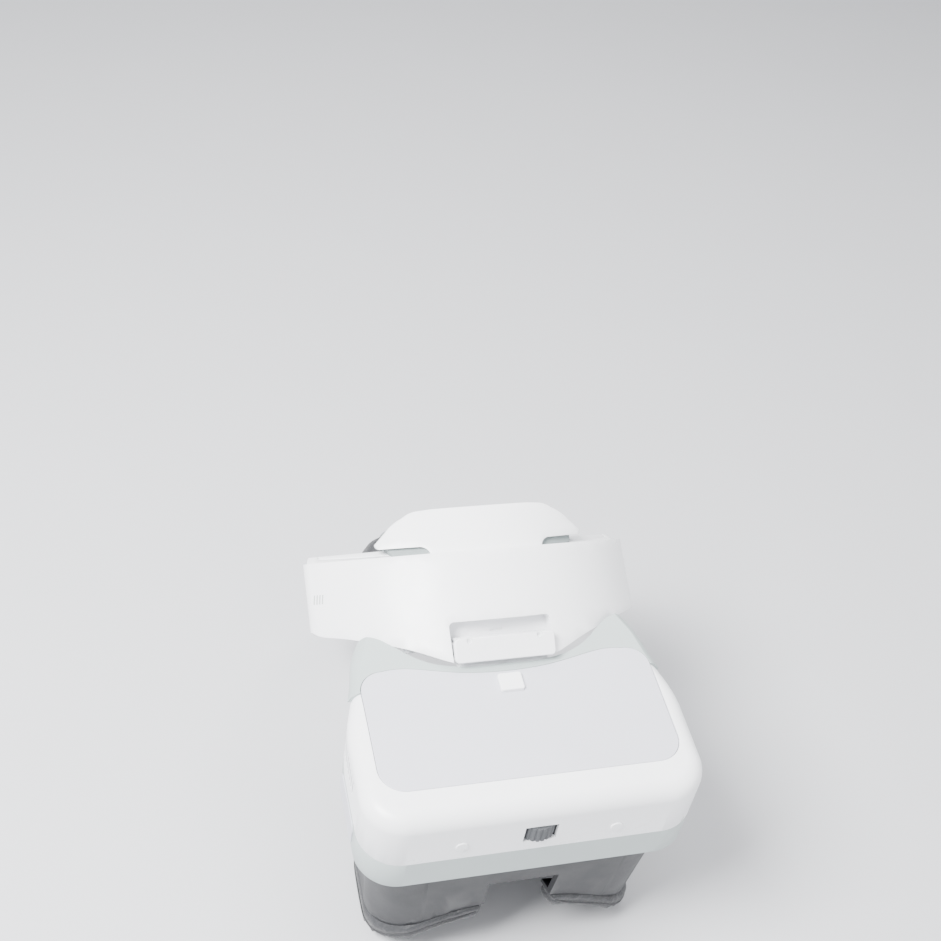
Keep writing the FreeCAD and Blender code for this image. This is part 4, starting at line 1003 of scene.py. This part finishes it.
class GOGGLES_OT_studio(bpy.types.Operator):
    """Set up the floor, the soft lights and the camera"""

    bl_idname = "goggles.studio"
    bl_label = "Studio"

    def execute(self, context):
        self.floor()
        self.surroundings(context.scene)
        studio = settings().studio
        self.soft_light("key_light", (-0.75, -0.35, 1.2), 0.6, studio.key_power)
        self.soft_light("fill_light", (1.1, -0.7, 0.7), 1.0, studio.fill_power)
        self.soft_light("top_light", (0.25, 0.6, 1.5), 1.1, studio.top_power)
        self.camera(context.scene)
        return {"FINISHED"}

    def floor(self):
        """Pale sheet under the goggles."""
        bm = bmesh.new()
        bmesh.ops.create_grid(bm, x_segments=2, y_segments=2, size=6.0)
        mesh = bpy.data.meshes.new("floor")
        bm.to_mesh(mesh)
        bm.free()
        made = bpy.data.objects.new("floor", mesh)
        bpy.context.scene.collection.objects.link(made)
        mesh.materials.append(studio_sweep("floor_paint", settings().colours.floor))

    def surroundings(self, scene):
        """Even white light from all around."""
        world = bpy.data.worlds.new("studio_white")
        world.use_nodes = True
        back = world.node_tree.nodes["Background"]
        back.inputs["Color"].default_value = linear("#FAFBFF")
        back.inputs["Strength"].default_value = settings().studio.sky
        scene.world = world

    def soft_light(self, name, place, size, power):
        """Square area light that faces the goggles."""
        light = bpy.data.lights.new(name, "AREA")
        light.energy = power
        light.shape = "SQUARE"
        light.size = size
        made = bpy.data.objects.new(name, light)
        bpy.context.scene.collection.objects.link(made)
        made.location = place
        made.rotation_euler = (HINGE - Vector(place)).to_track_quat("-Z", "Y").to_euler()

    def camera(self, scene):
        """Camera in front of the ring, looking along its plane."""
        studio = settings().studio
        azimuth, height = studio.azimuth, studio.elevation
        back = Vector((math.sin(azimuth) * math.cos(height), -math.cos(azimuth) * math.cos(height),
                       math.sin(height)))
        right = (-back).cross(Vector((0, 0, 1))).normalized()
        up = right.cross(-back)
        lens = bpy.data.cameras.new("camera")
        lens.lens = studio.lens
        lens.sensor_width = 36.0
        made = bpy.data.objects.new("camera", lens)
        scene.collection.objects.link(made)
        level = Matrix((right, up, back)).transposed().to_4x4()
        spot = right * studio.aim_right + up * studio.aim_up + back * studio.distance
        made.matrix_world = BAND @ Matrix.Translation(spot) @ level @ Matrix.Rotation(studio.roll, 4, "Z")
        scene.camera = made


# ---- panel and registration -------------------------------------------------------------------

STEPS = [GOGGLES_OT_studio, GOGGLES_OT_finishes, GOGGLES_OT_forehead_pad, GOGGLES_OT_rear_pad,
         GOGGLES_OT_face_pad, GOGGLES_OT_vent_mesh, GOGGLES_OT_eye_trim, GOGGLES_OT_hinge_screws,
         GOGGLES_OT_knob_cap]


class GOGGLES_PT_panel(bpy.types.Panel):
    """Steps and settings of the goggles"""

    bl_idname = "GOGGLES_PT_panel"
    bl_label = "Video goggles"
    bl_space_type = "VIEW_3D"
    bl_region_type = "UI"
    bl_category = "Goggles"

    def draw(self, context):
        for step in STEPS:
            self.layout.operator(step.bl_idname)
        for group in (settings().colours, settings().sizes, settings().studio):
            box = self.layout.box()
            for name in group.bl_rna.properties.keys():
                if name not in ("rna_type", "name"):
                    box.prop(group, name)


CLASSES = [GogglesColours, GogglesSizes, GogglesStudio, GogglesSettings, *STEPS, GOGGLES_PT_panel]


def register():
    """Make the settings, steps and panel known to Blender."""
    for known in CLASSES:
        bpy.utils.register_class(known)
    bpy.types.Scene.goggles = PointerProperty(name="Goggles", description="Settings", type=GogglesSettings)


def unregister():
    """Take the settings, steps and panel away again."""
    del bpy.types.Scene.goggles
    for known in reversed(CLASSES):
        bpy.utils.unregister_class(known)


def main():
    """Build the looks in order."""
    register()
    for step in STEPS:
        group, name = step.bl_idname.split(".")
        getattr(getattr(bpy.ops, group), name)()


if __name__ == "__main__":
    main()
